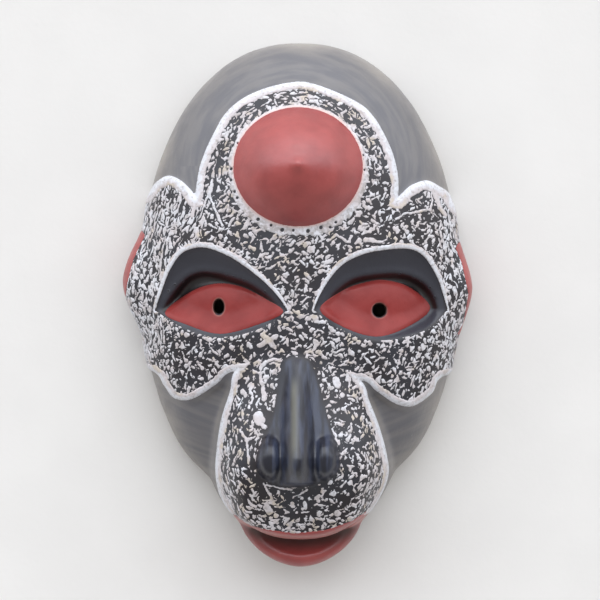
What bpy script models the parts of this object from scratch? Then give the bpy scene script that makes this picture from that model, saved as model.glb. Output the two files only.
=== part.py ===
"""A carved wooden mask, lying on its back rim with its face up and its crown toward +Y.

The mask is one piece of wood. Its shape is a solid function: an egg-shaped head with a raised
painted zone, a cone, eye sockets, a nose and a muzzle on it, with ears and a lower lip grown onto
it and a hollow cut into the back. Each of these has its own function, and all lengths are in metres.
"""

from collections import namedtuple

import bpy
import numpy as np

# Sizes of the whole mask.
HEAD_WIDTH = 0.176
HEAD_LENGTH = 0.275
FACE_HEIGHT = 0.066
SIDE_HEIGHT = 0.012
WALL = 0.014
LEAST_WALL = 0.006

# Sizes of the carving that can be set by themselves.
CONE_WIDTH = 0.0700
CONE_LENGTH = 0.0650
CONE_HEIGHT = 0.0292
NOSE_HEIGHT = 0.0235
NOSE_WING_HEIGHT = 0.0130
MUZZLE_HEIGHT = 0.0205
ZONE_STEP = 0.0015
LID_DEPTH = 0.0060
LID_EDGE_STEP = 0.0010
UNDER_LID_DEPTH = 0.0056
LID_RIM_HEIGHT = 0.0006
EYEBALL_BULGE = 0.0048
CHEEK_HOLLOW = 0.0050
PEEPHOLE_DIAMETER = 0.0075

# How wide the slopes of the carving are: along the zone's edge, the eye sockets' edge, under the
# upper lid, round the eyeball, and from a lid's outline to its full depth.
ZONE_SLOPE = 0.0010
SOCKET_SLOPE = 0.0012
UNDER_LID_SLOPE = 0.0036
LID_RIM_WIDTH = 0.0012
EYEBALL_SLOPE = 0.0014
LID_SLOPE = 0.0140

# How square the head is: 2 is an ellipse, and more is squarer.
CROWN_SQUARENESS = 2.2
JAW_SQUARENESS = 1.9
DOME_SQUARENESS = 2.3

# The carving is laid out on a head of this size, and another head stretches the layout with it.
LAYOUT_WIDTH = 0.176
LAYOUT_LENGTH = 0.275
LAYOUT_HEIGHT = 0.066
HEAD_MIDDLE_Y = 0.0075

# The painted zone in plan: an arch over the forehead, a band across the eyes and the muzzle. Each
# outline here is a smooth closed curve through its x and y points.
ARCH_OUTLINE = (
    (-0.0560, 0.0520), (-0.0563, 0.0602), (-0.0555, 0.0665), (-0.0539, 0.0752), (-0.0506, 0.0844),
    (-0.0462, 0.0937), (-0.0414, 0.1024), (-0.0348, 0.1092), (-0.0261, 0.1146), (-0.0152, 0.1185),
    (-0.0054, 0.1206), (0.0022, 0.1210), (0.0098, 0.1191), (0.0185, 0.1158), (0.0272, 0.1119),
    (0.0348, 0.1073), (0.0403, 0.1013), (0.0446, 0.0942), (0.0484, 0.0861), (0.0511, 0.0784),
    (0.0529, 0.0680), (0.0526, 0.0579), (0.0500, 0.0470), (0.0380, 0.0330), (0.0000, 0.0260),
    (-0.0400, 0.0340),
)
BAND_OUTLINE = (
    (-0.1070, 0.0480), (-0.0850, 0.0612), (-0.0793, 0.0669), (-0.0721, 0.0703), (-0.0653, 0.0678),
    (-0.0591, 0.0622), (-0.0545, 0.0580), (-0.0380, 0.0690), (0.0000, 0.0780), (0.0360, 0.0690),
    (0.0505, 0.0575), (0.0545, 0.0596), (0.0600, 0.0645), (0.0687, 0.0676), (0.0760, 0.0648),
    (0.0825, 0.0610), (0.0870, 0.0540),
    (0.1070, 0.0430), (0.1070, -0.0290), (0.0780, -0.0390), (0.0722, -0.0478), (0.0615, -0.0546),
    (0.0517, -0.0531), (0.0410, -0.0458), (0.0322, -0.0400),
    (0.0000, -0.0370),
    (-0.0341, -0.0351), (-0.0458, -0.0429), (-0.0585, -0.0507), (-0.0683, -0.0507),
    (-0.0741, -0.0439), (-0.0810, -0.0361), (-0.1070, -0.0290),
)
MUZZLE_OUTLINE = (
    (-0.0322, -0.0322), (-0.0375, -0.0468), (-0.0424, -0.0624), (-0.0449, -0.0780),
    (-0.0458, -0.0926), (-0.0432, -0.1058), (-0.0353, -0.1172), (-0.0190, -0.1270),
    (0.0000, -0.1298), (0.0190, -0.1270), (0.0363, -0.1162), (0.0441, -0.1048),
    (0.0480, -0.0926), (0.0468, -0.0809), (0.0424, -0.0653), (0.0370, -0.0517),
    (0.0312, -0.0390), (0.0000, -0.0100),
)

# Eyes, seen from the front: the brow line, the lid's lower edge, the line under the eye, the almond
# of the eyeball, and where its peephole goes through, with the width and length of the hole as
# shares of PEEPHOLE_DIAMETER.
Eye = namedtuple("Eye", "brow lid under almond peephole peephole_oval")
LEFT_EYE = Eye(
    brow=((-0.0785, -0.0029), (-0.0735, 0.0125), (-0.0700, 0.0205), (-0.0650, 0.0275),
          (-0.0590, 0.0306), (-0.0520, 0.0314), (-0.0440, 0.0292), (-0.0337, 0.0240),
          (-0.0216, 0.0147), (-0.0130, 0.0060), (-0.0073, -0.0029)),
    lid=((-0.0765, -0.0029), (-0.0639, 0.0132), (-0.0546, 0.0182), (-0.0458, 0.0178),
         (-0.0390, 0.0161), (-0.0244, 0.0105), (-0.0088, -0.0015)),
    under=((-0.0215, -0.0124), (-0.0429, -0.0171), (-0.0624, -0.0124)),
    almond=((-0.0736, -0.0042), (-0.0600, 0.0070), (-0.0458, 0.0117), (-0.0322, 0.0102),
            (-0.0190, 0.0037), (-0.0088, -0.0037), (-0.0224, -0.0105), (-0.0429, -0.0156),
            (-0.0614, -0.0107)),
    peephole=(-0.0439, -0.0010),
    peephole_oval=(0.75, 1.08),
)
RIGHT_EYE = Eye(
    brow=((0.0078, -0.0029), (0.0125, 0.0088), (0.0215, 0.0209), (0.0330, 0.0273),
          (0.0450, 0.0299), (0.0566, 0.0308), (0.0640, 0.0290), (0.0700, 0.0233),
          (0.0760, 0.0120), (0.0800, -0.0029)),
    lid=((0.0098, -0.0010), (0.0234, 0.0114), (0.0341, 0.0159), (0.0536, 0.0176),
         (0.0658, 0.0132), (0.0726, 0.0059), (0.0765, -0.0039)),
    under=((0.0673, -0.0137), (0.0429, -0.0188), (0.0234, -0.0132)),
    almond=((0.0105, -0.0021), (0.0224, 0.0076), (0.0332, 0.0119), (0.0458, 0.0137),
            (0.0605, 0.0093), (0.0712, -0.0018), (0.0585, -0.0119), (0.0410, -0.0171),
            (0.0224, -0.0115)),
    peephole=(0.0429, -0.0029),
    peephole_oval=(1.00, 1.00),
)

# Cone and nose, as places and shapes on the layout. A bigger fullness is a rounder form.
CONE_CENTRE = (-0.0010, 0.0745)
CONE_FULLNESS = 1.9
CONE_FOOT = 0.8
CONE_SHARES = (0.58, 0.345, 0.075)
CONE_NIPPLE_REACH = 0.10
NOSE_X = -0.0012
NOSE_ROOT_Y = -0.0262
NOSE_ROOT_SLOPE = 0.0075
NOSE_ROOT_HEIGHT = 0.0016
NOSE_TIP_Y = -0.0800
NOSE_TIP_DROP = 0.6
NOSE_BASE_Y = -0.0950
NOSE_BASE_ARCH = 7.0
NOSE_BASE_SLOPE = 0.0022
NOSE_ROOT_HALF_WIDTH = 0.0062
NOSE_TIP_HALF_WIDTH = 0.0102
NOSE_FULLNESS = 1.9
NOSE_FLANK = 0.80
NOSE_FOOT_HEIGHT = 0.0034
NOSE_FOOT_SLOPE = 0.0060
NOSE_WING_Y = -0.0815
NOSE_WING_REACH = 0.0146
NOSE_WING_RADII = (0.0080, 0.0120)
NOSE_WING_FULLNESS = 2.5
NOSE_WING_FLANK = 0.65
NOSE_FACET_SHARE = 0.95
NOSE_FACET_FALL = 0.20

# The foot of the nose, which stays plain black.
NOSE_OUTLINE = (
    (-0.0020, -0.0280), (-0.0074, -0.0292), (-0.0100, -0.0340), (-0.0116, -0.0410),
    (-0.0128, -0.0500), (-0.0148, -0.0600), (-0.0184, -0.0690), (-0.0226, -0.0780),
    (-0.0236, -0.0868), (-0.0203, -0.0932), (-0.0091, -0.0970), (0.0048, -0.0964),
    (0.0160, -0.0932), (0.0212, -0.0868), (0.0205, -0.0780), (0.0180, -0.0700),
    (0.0150, -0.0610), (0.0122, -0.0500), (0.0100, -0.0410), (0.0070, -0.0330),
    (0.0040, -0.0288),
)

# Where the muzzle begins, is full and ends, how wide its rounded edge is at the sides and at the
# lip, how steep that edge is, and how far up the chin it tucks in.
MUZZLE_START_Y = -0.0250
MUZZLE_FULL_Y = -0.1000
LIP_EDGE_Y = -0.1180
MUZZLE_SHOULDER = 0.0150
LIP_SHOULDER = 0.0060
MUZZLE_FLANK = 0.55
CHIN_TUCK_HEIGHT = 0.0380

# Where the cheeks sink in beside the muzzle, and how far out.
CHEEK_START_Y = -0.0320
CHEEK_FULL_Y = -0.0480
CHEEK_REACH = 0.0160

# Ears, lower lip and the recess of the mouth are stretched balls. An ear's radius is the one along
# the head, and its reach is how far it stands out past the head's side.
EAR_WIDTH = 0.0200
EAR_THICKNESS = 0.0200
EAR_HEIGHT = 0.0200
EAR_SQUARENESS = 1.55
Ear = namedtuple("Ear", "side reach y radius")
LEFT_EAR = Ear(side=-1, reach=0.0098, y=0.0127, radius=0.0335)
RIGHT_EAR = Ear(side=1, reach=0.0071, y=0.0094, radius=0.0360)
LIP_CENTRE = (0.0003, -0.1130, 0.0330)
LIP_RADII = (0.0342, 0.0302, 0.0125)
LIP_SQUARENESS = 1.8
LIP_FULLNESS = 2.6
MOUTH_CENTRE = (0.0003, -0.1245, 0.0500)
MOUTH_RADII = (0.0350, 0.0165, 0.0128)
MOUTH_ROOF = 0.0490

# How softly neighbouring forms run into each other.
EAR_BLEND = 0.0040
LIP_BLEND = 0.0030
MOUTH_BLEND = 0.0015
NOSE_BLEND = 0.0020
HOLLOW_BLEND = 0.0040

# The surface is traced on a grid this fine, with a margin round the head, and then thinned to
# about this many triangles. Outlines have this many straight pieces from point to point.
GRID_STEP = 0.0016
GRID_MARGIN = 0.0160
TRIANGLES = 8600
CURVE_STEPS = 6
HOLE_SIDES = 24

# How far the traced wood goes on under its back rim before the floor cuts it flat.
SKIRT = 0.0040
TINY = 1e-9


def clear_scene():
    for obj in list(bpy.data.objects):
        bpy.data.objects.remove(obj, do_unlink=True)


def smooth_max(a, b, blend):
    mix = np.clip(0.5 + 0.5 * (a - b) / blend, 0.0, 1.0)
    return b + (a - b) * mix + blend * mix * (1.0 - mix)


def smooth_min(a, b, blend):
    return -smooth_max(-a, -b, blend)


def smooth_step(low, high, value):
    t = np.clip((value - low) / (high - low), 0.0, 1.0)
    return t * t * (3.0 - 2.0 * t)


def inward(distance, width):
    """0 outside an outline, and rising to 1 this far inside it."""
    return smooth_step(0.0, -width, distance)


def levelling(distance, reach):
    """Rising evenly from 0 at a line and levelling off at 1 this far from it."""
    return 2 * smooth_step(-reach, reach, distance) - 1


def curve(points, closed):
    """Points along a smooth curve through the given ones."""
    knots = np.array(points, float)
    count = len(knots)
    t = (np.arange(CURVE_STEPS) / CURVE_STEPS)[:, None]
    pieces = []
    for i in range(count if closed else count - 1):
        around = [i - 1, i, i + 1, i + 2]
        if closed:
            a, b, c, d = knots[np.mod(around, count)]
        else:
            a, b, c, d = knots[np.clip(around, 0, count - 1)]
        bend = 2 * a - 5 * b + 4 * c - d
        twist = 3 * b - a - 3 * c + d
        pieces.append(0.5 * (2 * b + (c - a) * t + bend * t ** 2 + twist * t ** 3))
    if not closed:
        pieces.append(knots[-1:])
    return np.concatenate(pieces)


def line_distance(x, y, line):
    """Distance in plan to a chain of straight pieces."""
    nearest = np.full(np.broadcast(x, y).shape, np.inf)
    for (ax, ay), (bx, by) in zip(line[:-1], line[1:]):
        dx = bx - ax
        dy = by - ay
        t = np.clip(((x - ax) * dx + (y - ay) * dy) / (dx * dx + dy * dy), 0.0, 1.0)
        nearest = np.minimum(nearest, (x - ax - t * dx) ** 2 + (y - ay - t * dy) ** 2)
    return np.sqrt(nearest)


def area_distance(x, y, outline):
    """Distance in plan to a closed outline, negative inside it."""
    ring = np.concatenate([outline, outline[:1]])
    inside = np.zeros(np.broadcast(x, y).shape, bool)
    for (ax, ay), (bx, by) in zip(ring[:-1], ring[1:]):
        if ay != by:
            inside ^= ((ay > y) != (by > y)) & (x < (bx - ax) * (y - ay) / (by - ay) + ax)
    distance = line_distance(x, y, ring)
    return np.where(inside, -distance, distance)


def oval_share(x, y, centre, radii):
    """How far out of an oval's centre each place is: 0 at the centre and 1 on the oval."""
    return np.sqrt(((x - centre[0]) / radii[0]) ** 2 + ((y - centre[1]) / radii[1]) ** 2)


def ball_distance(x, y, z, centre, radii, squareness, fullness):
    """Distance to a ball stretched to three radii, near its surface.

    The squareness shapes its outline in plan and the fullness its height: 2 is an ellipse.
    """
    u = np.abs(x - centre[0]) / radii[0] + TINY
    v = np.abs(y - centre[1]) / radii[1] + TINY
    w = np.abs(z - centre[2]) / radii[2]
    ring = (u ** squareness + v ** squareness) ** (1 / squareness)
    size = (ring ** fullness + w ** fullness) ** (1 / fullness)
    side = (ring / size) ** (fullness - 1)
    slope_x = side * (u / ring) ** (squareness - 1) / radii[0]
    slope_y = side * (v / ring) ** (squareness - 1) / radii[1]
    slope_z = (w / size) ** (fullness - 1) / radii[2]
    return (size - 1.0) / np.sqrt(slope_x ** 2 + slope_y ** 2 + slope_z ** 2)


def head_distance(x, y, z):
    """Distance to the plain egg of the head, which has upright sides up to SIDE_HEIGHT."""
    middle_y = HEAD_MIDDLE_Y * HEAD_LENGTH / LAYOUT_LENGTH
    centre = (0.0, middle_y, SIDE_HEIGHT)
    radii = (HEAD_WIDTH / 2, HEAD_LENGTH / 2, FACE_HEIGHT - SIDE_HEIGHT)
    squareness = np.where(y > middle_y, CROWN_SQUARENESS, JAW_SQUARENESS)
    return ball_distance(x, y, np.maximum(z, SIDE_HEIGHT), centre, radii, squareness, DOME_SQUARENESS)


def muzzle_distance(x, y):
    return area_distance(x, y, curve(MUZZLE_OUTLINE, closed=True))


def zone_distance(x, y):
    """Distance in plan to the edge of the painted zone, negative inside it."""
    arch = area_distance(x, y, curve(ARCH_OUTLINE, closed=True))
    band = area_distance(x, y, curve(BAND_OUTLINE, closed=True))
    return np.minimum(np.minimum(arch, band), muzzle_distance(x, y))


def cone_rise(x, y):
    """A full cone with a rounded foot and a small nipple at its tip."""
    out = oval_share(x, y, CONE_CENTRE, (CONE_WIDTH / 2, CONE_LENGTH / 2))
    dome = np.maximum(1.0 - out ** CONE_FULLNESS, 0.0) ** CONE_FOOT
    flank = np.maximum(1.0 - out, 0.0)
    nipple = np.exp(-(out / CONE_NIPPLE_REACH) ** 2) * (out < 1.0)
    shares = CONE_SHARES
    return CONE_HEIGHT * (shares[0] * dome + shares[1] * flank + shares[2] * nipple)


def area_above(edge, under):
    """Outline of the area between an edge over the eye and the line under the eye."""
    top = curve(edge, closed=False)
    bottom = curve((edge[-1],) + under + (edge[0],), closed=False)
    return np.concatenate([top, bottom[1:-1]])


def ball_share(x, y, eye):
    """How far the eyeball stands out at each place, from 0 round its edge to 1 in its middle."""
    almond = np.array(eye.almond)
    low = almond.min(axis=0)
    high = almond.max(axis=0)
    out = oval_share(x, y, (low + high) / 2, (high - low) / 2)
    return np.sqrt(np.maximum(1.0 - out ** 2, 0.0))


def socket_depth(x, y, eye):
    """Depth of the sloping lid, the step under its edge and the eyeball bulging out of it."""
    socket = area_distance(x, y, area_above(eye.brow, eye.under))
    lid = area_distance(x, y, area_above(eye.lid, eye.under))
    almond = area_distance(x, y, curve(eye.almond, closed=True))
    upper = curve(eye.brow, closed=False)
    lower = curve((eye.brow[-1],) + eye.under + (eye.brow[0],), closed=False)
    depth = LID_DEPTH * levelling(line_distance(x, y, upper), LID_SLOPE)
    depth = depth - LID_RIM_HEIGHT * np.exp(-((lid - LID_RIM_WIDTH) / LID_RIM_WIDTH) ** 2)
    depth = depth + UNDER_LID_DEPTH * inward(lid, UNDER_LID_SLOPE)
    depth = LID_EDGE_STEP + depth * levelling(line_distance(x, y, lower), LID_SLOPE)
    depth = depth - EYEBALL_BULGE * ball_share(x, y, eye) * inward(almond, EYEBALL_SLOPE)
    return depth * inward(socket, SOCKET_SLOPE)


def nose_ridge(x, y):
    """The long ridge of the nose, which widens and rises from its root to its tip."""
    along = np.clip((NOSE_ROOT_Y - y) / (NOSE_ROOT_Y - NOSE_TIP_Y), 0.0, 1.0)
    past_tip = np.clip((NOSE_TIP_Y - y) / (NOSE_TIP_Y - NOSE_BASE_Y), 0.0, 1.0)
    height = NOSE_HEIGHT * along * (1.0 - NOSE_TIP_DROP * past_tip ** 2)
    half_width = NOSE_ROOT_HALF_WIDTH + (NOSE_TIP_HALF_WIDTH - NOSE_ROOT_HALF_WIDTH) * along
    out = np.minimum(np.abs(x - NOSE_X) / half_width, 1.0)
    flank = (1.0 - out ** NOSE_FULLNESS) ** NOSE_FLANK
    start = NOSE_ROOT_HEIGHT * inward(y - NOSE_ROOT_Y, NOSE_ROOT_SLOPE)
    return (height + start) * flank


def nose_wing(x, y, side):
    """A rounded wing beside the tip of the nose, with a flat facet cut from its top to its base."""
    out = oval_share(x, y, (NOSE_X + side * NOSE_WING_REACH, NOSE_WING_Y), NOSE_WING_RADII)
    wing = NOSE_WING_HEIGHT * np.maximum(1.0 - out ** NOSE_WING_FULLNESS, 0.0) ** NOSE_WING_FLANK
    facet = NOSE_FACET_SHARE * NOSE_WING_HEIGHT - NOSE_FACET_FALL * (NOSE_WING_Y - y)
    return smooth_min(wing, facet, NOSE_BLEND / 2)


def nose_rise(x, y):
    """The ridge and its two wings on their broad foot, cut off by the underside of the nose."""
    nose = nose_ridge(x, y)
    for side in (-1, 1):
        nose = smooth_max(nose, nose_wing(x, y, side), NOSE_BLEND / 2)
    nose = np.maximum(nose - NOSE_BLEND / 8, 0.0)
    underside = NOSE_BASE_Y + NOSE_BASE_ARCH * (x - NOSE_X) ** 2
    nose = nose * inward(underside - y - NOSE_BASE_SLOPE, NOSE_BASE_SLOPE)
    foot = inward(area_distance(x, y, curve(NOSE_OUTLINE, closed=True)), NOSE_FOOT_SLOPE)
    return smooth_max(nose, NOSE_FOOT_HEIGHT * foot, NOSE_BLEND) - NOSE_BLEND / 4


def muzzle_rise(x, y, z):
    """The muzzle swells from the eyes down to the lips and tucks in toward the back rim."""
    swell = smooth_step(MUZZLE_START_Y, MUZZLE_FULL_Y, y) * smooth_step(0.0, CHIN_TUCK_HEIGHT, z)
    at_lip = smooth_step(MUZZLE_FULL_Y, LIP_EDGE_Y, y)
    shoulder = MUZZLE_SHOULDER + (LIP_SHOULDER - MUZZLE_SHOULDER) * at_lip
    return MUZZLE_HEIGHT * swell * inward(muzzle_distance(x, y), shoulder) ** MUZZLE_FLANK


def cheek_depth(x, y):
    """Depth of the smooth cheeks beside the muzzle, deepest next to it."""
    beside = np.exp(-(np.maximum(muzzle_distance(x, y), 0.0) / CHEEK_REACH) ** 2)
    below_band = inward(-zone_distance(x, y), 4 * ZONE_SLOPE)
    return CHEEK_HOLLOW * beside * below_band * smooth_step(CHEEK_START_Y, CHEEK_FULL_Y, y)


def ear_distance(x, y, z, ear):
    centre = (ear.side * (LAYOUT_WIDTH / 2 + ear.reach - EAR_WIDTH), ear.y, EAR_HEIGHT)
    radii = (EAR_WIDTH, ear.radius, EAR_THICKNESS)
    return ball_distance(x, y, z, centre, radii, EAR_SQUARENESS, 2.0)


def front_distance(x, y, z):
    """Distance to the carved front of the mask, before the back is hollowed."""
    across = x * LAYOUT_WIDTH / HEAD_WIDTH
    along = y * LAYOUT_LENGTH / HEAD_LENGTH
    up = z * LAYOUT_HEIGHT / FACE_HEIGHT
    rise = ZONE_STEP * inward(zone_distance(across, along), ZONE_SLOPE)
    rise = rise + cone_rise(across, along) + nose_rise(across, along)
    rise = rise + muzzle_rise(across, along, up) - cheek_depth(across, along)
    for eye in (LEFT_EYE, RIGHT_EYE):
        rise = rise - socket_depth(across, along, eye)
    front = head_distance(x, y, z) - rise
    for ear in (LEFT_EAR, RIGHT_EAR):
        front = smooth_min(front, ear_distance(across, along, up, ear), EAR_BLEND)
    lip = ball_distance(across, along, up, LIP_CENTRE, LIP_RADII, LIP_SQUARENESS, LIP_FULLNESS)
    mouth = ball_distance(across, along, up, MOUTH_CENTRE, MOUTH_RADII, LIP_SQUARENESS, 2.0)
    mouth = smooth_max(mouth, up - MOUTH_ROOF, MOUTH_BLEND)
    return smooth_max(smooth_min(front, lip, LIP_BLEND), -mouth, MOUTH_BLEND)


def mask_distance(x, y, z):
    """Distance to the whole mask, negative in the wood, cut off a little below its back rim."""
    front = front_distance(x, y, z)
    hollow = smooth_max(head_distance(x, y, z) + WALL, front + LEAST_WALL, HOLLOW_BLEND)
    return np.maximum(np.maximum(front, -hollow), -(z + SKIRT))


def grid_axes():
    """Sample positions along each axis, around the whole mask."""
    half_width = HEAD_WIDTH / 2 * (1 + 2 * LEFT_EAR.reach / LAYOUT_WIDTH) + GRID_MARGIN
    half_length = HEAD_LENGTH / 2 + HEAD_MIDDLE_Y + GRID_MARGIN
    height = FACE_HEIGHT + CONE_HEIGHT + NOSE_HEIGHT
    x = np.arange(-half_width, half_width, GRID_STEP)
    y = np.arange(-half_length, half_length, GRID_STEP)
    z = np.arange(-SKIRT - 3 * GRID_STEP, height, GRID_STEP)
    return x, y, z


def softened(field):
    """The field averaged with its neighbours, so that no crease is finer than the grid can hold."""
    for axis in range(3):
        near = np.roll(field, 1, axis)
        far = np.roll(field, -1, axis)
        field = (near + 2 * field + far) / 4
    return field


def joined(field):
    """The field with wood added wherever two bits of wood would touch only along an edge."""
    wood = field < 0
    amount = 0
    while wood.sum() > amount:
        amount = wood.sum()
        for first, second in ((0, 1), (1, 2), (2, 0)):
            beside = np.roll(wood, -1, first)
            above = np.roll(wood, -1, second)
            across = np.roll(beside, -1, second)
            touching = (wood == across) & (beside == above) & (wood != beside)
            touching |= np.roll(touching, 1, first)
            wood |= touching | np.roll(touching, 1, second)
    return np.where(wood, np.minimum(field, -GRID_STEP / 10), field)


def surface_points(field, cells, axes):
    """One point in each cell that the surface crosses: the mean of where it crosses its edges."""
    total = np.zeros((len(cells), 3))
    crossings = np.zeros(len(cells))
    for corner in np.ndindex(2, 2, 2):
        for axis in range(3):
            if corner[axis] == 1:
                continue
            far_corner = np.array(corner)
            far_corner[axis] = 1
            near = field[tuple((cells + corner).T)]
            far = field[tuple((cells + far_corner).T)]
            crossed = (near < 0) != (far < 0)
            place = np.tile(np.array(corner, float), (crossed.sum(), 1))
            place[:, axis] = near[crossed] / (near[crossed] - far[crossed])
            total[crossed] += place
            crossings[crossed] += 1
    origin = np.array([values[0] for values in axes])
    return origin + GRID_STEP * (cells + total / crossings[:, None])


def surface_quads(inside, number):
    """A quad across each grid edge that leaves the solid, joining the four cells around it."""
    quads = []
    for axis in range(3):
        first = (axis + 1) % 3
        second = (axis + 2) % 3
        near = np.moveaxis(np.moveaxis(inside, axis, 0)[:-1], 0, axis)
        far = np.moveaxis(np.moveaxis(inside, axis, 0)[1:], 0, axis)
        edges = np.argwhere(near != far)
        leaves = near[tuple(edges.T)]
        ring = []
        for back_first, back_second in ((1, 1), (0, 1), (0, 0), (1, 0)):
            cell = edges.copy()
            cell[:, first] -= back_first
            cell[:, second] -= back_second
            ring.append(number[tuple(cell.T)])
        ring = np.stack(ring, axis=1)
        ring[~leaves] = ring[~leaves][:, ::-1]
        quads.append(ring)
    return np.concatenate(quads)


def traced_surface(distance):
    """Points and quads of the surface where a distance function is zero."""
    axes = grid_axes()
    x, y, z = np.meshgrid(*axes, indexing="ij", sparse=True)
    field = joined(softened(distance(x, y, z)))
    inside = field < 0
    corners_inside = np.zeros([size - 1 for size in inside.shape], int)
    for i, j, k in np.ndindex(2, 2, 2):
        corners_inside += inside[i:i - 1 or None, j:j - 1 or None, k:k - 1 or None]
    crossed = (corners_inside > 0) & (corners_inside < 8)
    cells = np.argwhere(crossed)
    number = np.full(crossed.shape, -1)
    number[crossed] = np.arange(len(cells))
    return surface_points(field, cells, axes), surface_quads(inside, number)


def painted_wood():
    """Black paint with a dull shine."""
    material = bpy.data.materials.new("painted_wood")
    material.use_nodes = True
    shader = material.node_tree.nodes["Principled BSDF"]
    shader.inputs["Base Color"].default_value = (0.035, 0.035, 0.040, 1.0)
    shader.inputs["Roughness"].default_value = 0.45
    shader.inputs["Metallic"].default_value = 0.0
    return material


def carved_mask():
    """The mask traced from its distance function, with its plan centred on the origin."""
    points, quads = traced_surface(mask_distance)
    middle = (points.min(axis=0) + points.max(axis=0)) / 2
    points[:, :2] -= middle[:2]
    mesh = bpy.data.meshes.new("carved_mask")
    mesh.from_pydata(points.tolist(), [], quads.tolist())
    mesh.shade_smooth()
    mesh.materials.append(painted_wood())
    mask = bpy.data.objects.new("carved_mask", mesh)
    bpy.context.scene.collection.objects.link(mask)
    thin = mask.modifiers.new("thin", "DECIMATE")
    thin.ratio = TRIANGLES / (2 * len(quads))
    return mask, middle


def as_cutter(cutter, name):
    cutter.name = name
    cutter.hide_render = True
    cutter.display_type = "WIRE"
    return cutter


def cut_away(mask, cutter):
    cut = mask.modifiers.new(cutter.name, "BOOLEAN")
    cut.operation = "DIFFERENCE"
    cut.object = cutter


def floor_block():
    """A block under z = 0, which leaves the back rim flat."""
    depth = 4 * SKIRT
    bpy.ops.mesh.primitive_cube_add(size=1.0, location=(0.0, 0.0, -depth / 2))
    block = bpy.context.active_object
    block.scale = (2 * HEAD_WIDTH, 2 * HEAD_LENGTH, depth)
    return as_cutter(block, "floor_block")


def peephole_drill(eye, name, middle):
    """An oval rod through an eyeball, from the front of the mask to its hollow."""
    bpy.ops.mesh.primitive_cylinder_add(vertices=HOLE_SIDES, radius=0.5, depth=1.0)
    rod = bpy.context.active_object
    rod.location = (
        eye.peephole[0] * HEAD_WIDTH / LAYOUT_WIDTH - middle[0],
        eye.peephole[1] * HEAD_LENGTH / LAYOUT_LENGTH - middle[1],
        FACE_HEIGHT,
    )
    rod.scale = (
        PEEPHOLE_DIAMETER * eye.peephole_oval[0],
        PEEPHOLE_DIAMETER * eye.peephole_oval[1],
        2 * FACE_HEIGHT,
    )
    return as_cutter(rod, name)


def main():
    clear_scene()
    mask, middle = carved_mask()
    cut_away(mask, floor_block())
    cut_away(mask, peephole_drill(LEFT_EYE, "left_peephole", middle))
    cut_away(mask, peephole_drill(RIGHT_EYE, "right_peephole", middle))


main()
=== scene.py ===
"""The carved wooden mask with its paint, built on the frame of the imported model.

The wood is traced from the same solid function as the part, on a finer grid and with the marks of
hand carving. The paint lies on it as thin raised skins that follow the wood: red skins on the
cone, eyes, lips and ears, white lines along the edges of the carving, and white dabs between them.
All lengths are in metres. Outlines are laid out in plan, with the crown toward +Y.
"""

from collections import namedtuple

import bpy
import numpy as np
from mathutils import Matrix, Vector
from mathutils.kdtree import KDTree


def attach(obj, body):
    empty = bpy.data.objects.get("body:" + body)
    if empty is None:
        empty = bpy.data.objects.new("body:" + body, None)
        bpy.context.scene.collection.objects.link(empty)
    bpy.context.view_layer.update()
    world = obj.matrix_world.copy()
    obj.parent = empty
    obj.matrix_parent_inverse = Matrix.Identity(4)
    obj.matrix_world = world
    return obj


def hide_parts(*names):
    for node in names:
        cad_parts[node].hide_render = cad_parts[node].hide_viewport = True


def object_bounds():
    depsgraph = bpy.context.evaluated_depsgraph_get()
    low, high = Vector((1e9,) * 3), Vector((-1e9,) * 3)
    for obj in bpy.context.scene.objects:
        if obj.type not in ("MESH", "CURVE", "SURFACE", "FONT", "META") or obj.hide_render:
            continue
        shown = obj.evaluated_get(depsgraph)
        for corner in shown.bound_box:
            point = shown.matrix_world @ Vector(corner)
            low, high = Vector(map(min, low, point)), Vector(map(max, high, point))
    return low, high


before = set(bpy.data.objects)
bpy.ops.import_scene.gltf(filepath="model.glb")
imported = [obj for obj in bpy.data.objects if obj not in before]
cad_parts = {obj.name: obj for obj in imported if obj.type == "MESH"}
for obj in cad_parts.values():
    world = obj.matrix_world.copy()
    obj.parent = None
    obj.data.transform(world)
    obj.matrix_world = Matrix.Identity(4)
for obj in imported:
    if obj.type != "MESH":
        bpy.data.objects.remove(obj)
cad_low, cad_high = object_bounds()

# Sizes of the whole mask.
HEAD_WIDTH = 0.176
HEAD_LENGTH = 0.275
FACE_HEIGHT = 0.066
SIDE_HEIGHT = 0.012
WALL = 0.014
LEAST_WALL = 0.006

# Sizes of the carving.
CONE_WIDTH = 0.0700
CONE_LENGTH = 0.0650
CONE_HEIGHT = 0.0292
NOSE_HEIGHT = 0.0235
NOSE_WING_HEIGHT = 0.0130
MUZZLE_HEIGHT = 0.0205
ZONE_STEP = 0.0015
LID_DEPTH = 0.0060
LID_EDGE_STEP = 0.0010
UNDER_LID_DEPTH = 0.0056
LID_RIM_HEIGHT = 0.0006
EYEBALL_BULGE = 0.0048
CHEEK_HOLLOW = 0.0050
PEEPHOLE_DIAMETER = 0.0075

# How wide the slopes of the carving are.
ZONE_SLOPE = 0.0010
SOCKET_SLOPE = 0.0012
UNDER_LID_SLOPE = 0.0036
LID_RIM_WIDTH = 0.0012
EYEBALL_SLOPE = 0.0014
LID_SLOPE = 0.0140

# How square the head is: 2 is an ellipse, and more is squarer.
CROWN_SQUARENESS = 2.2
JAW_SQUARENESS = 1.9
DOME_SQUARENESS = 2.3
HEAD_MIDDLE_Y = 0.0075

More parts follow.
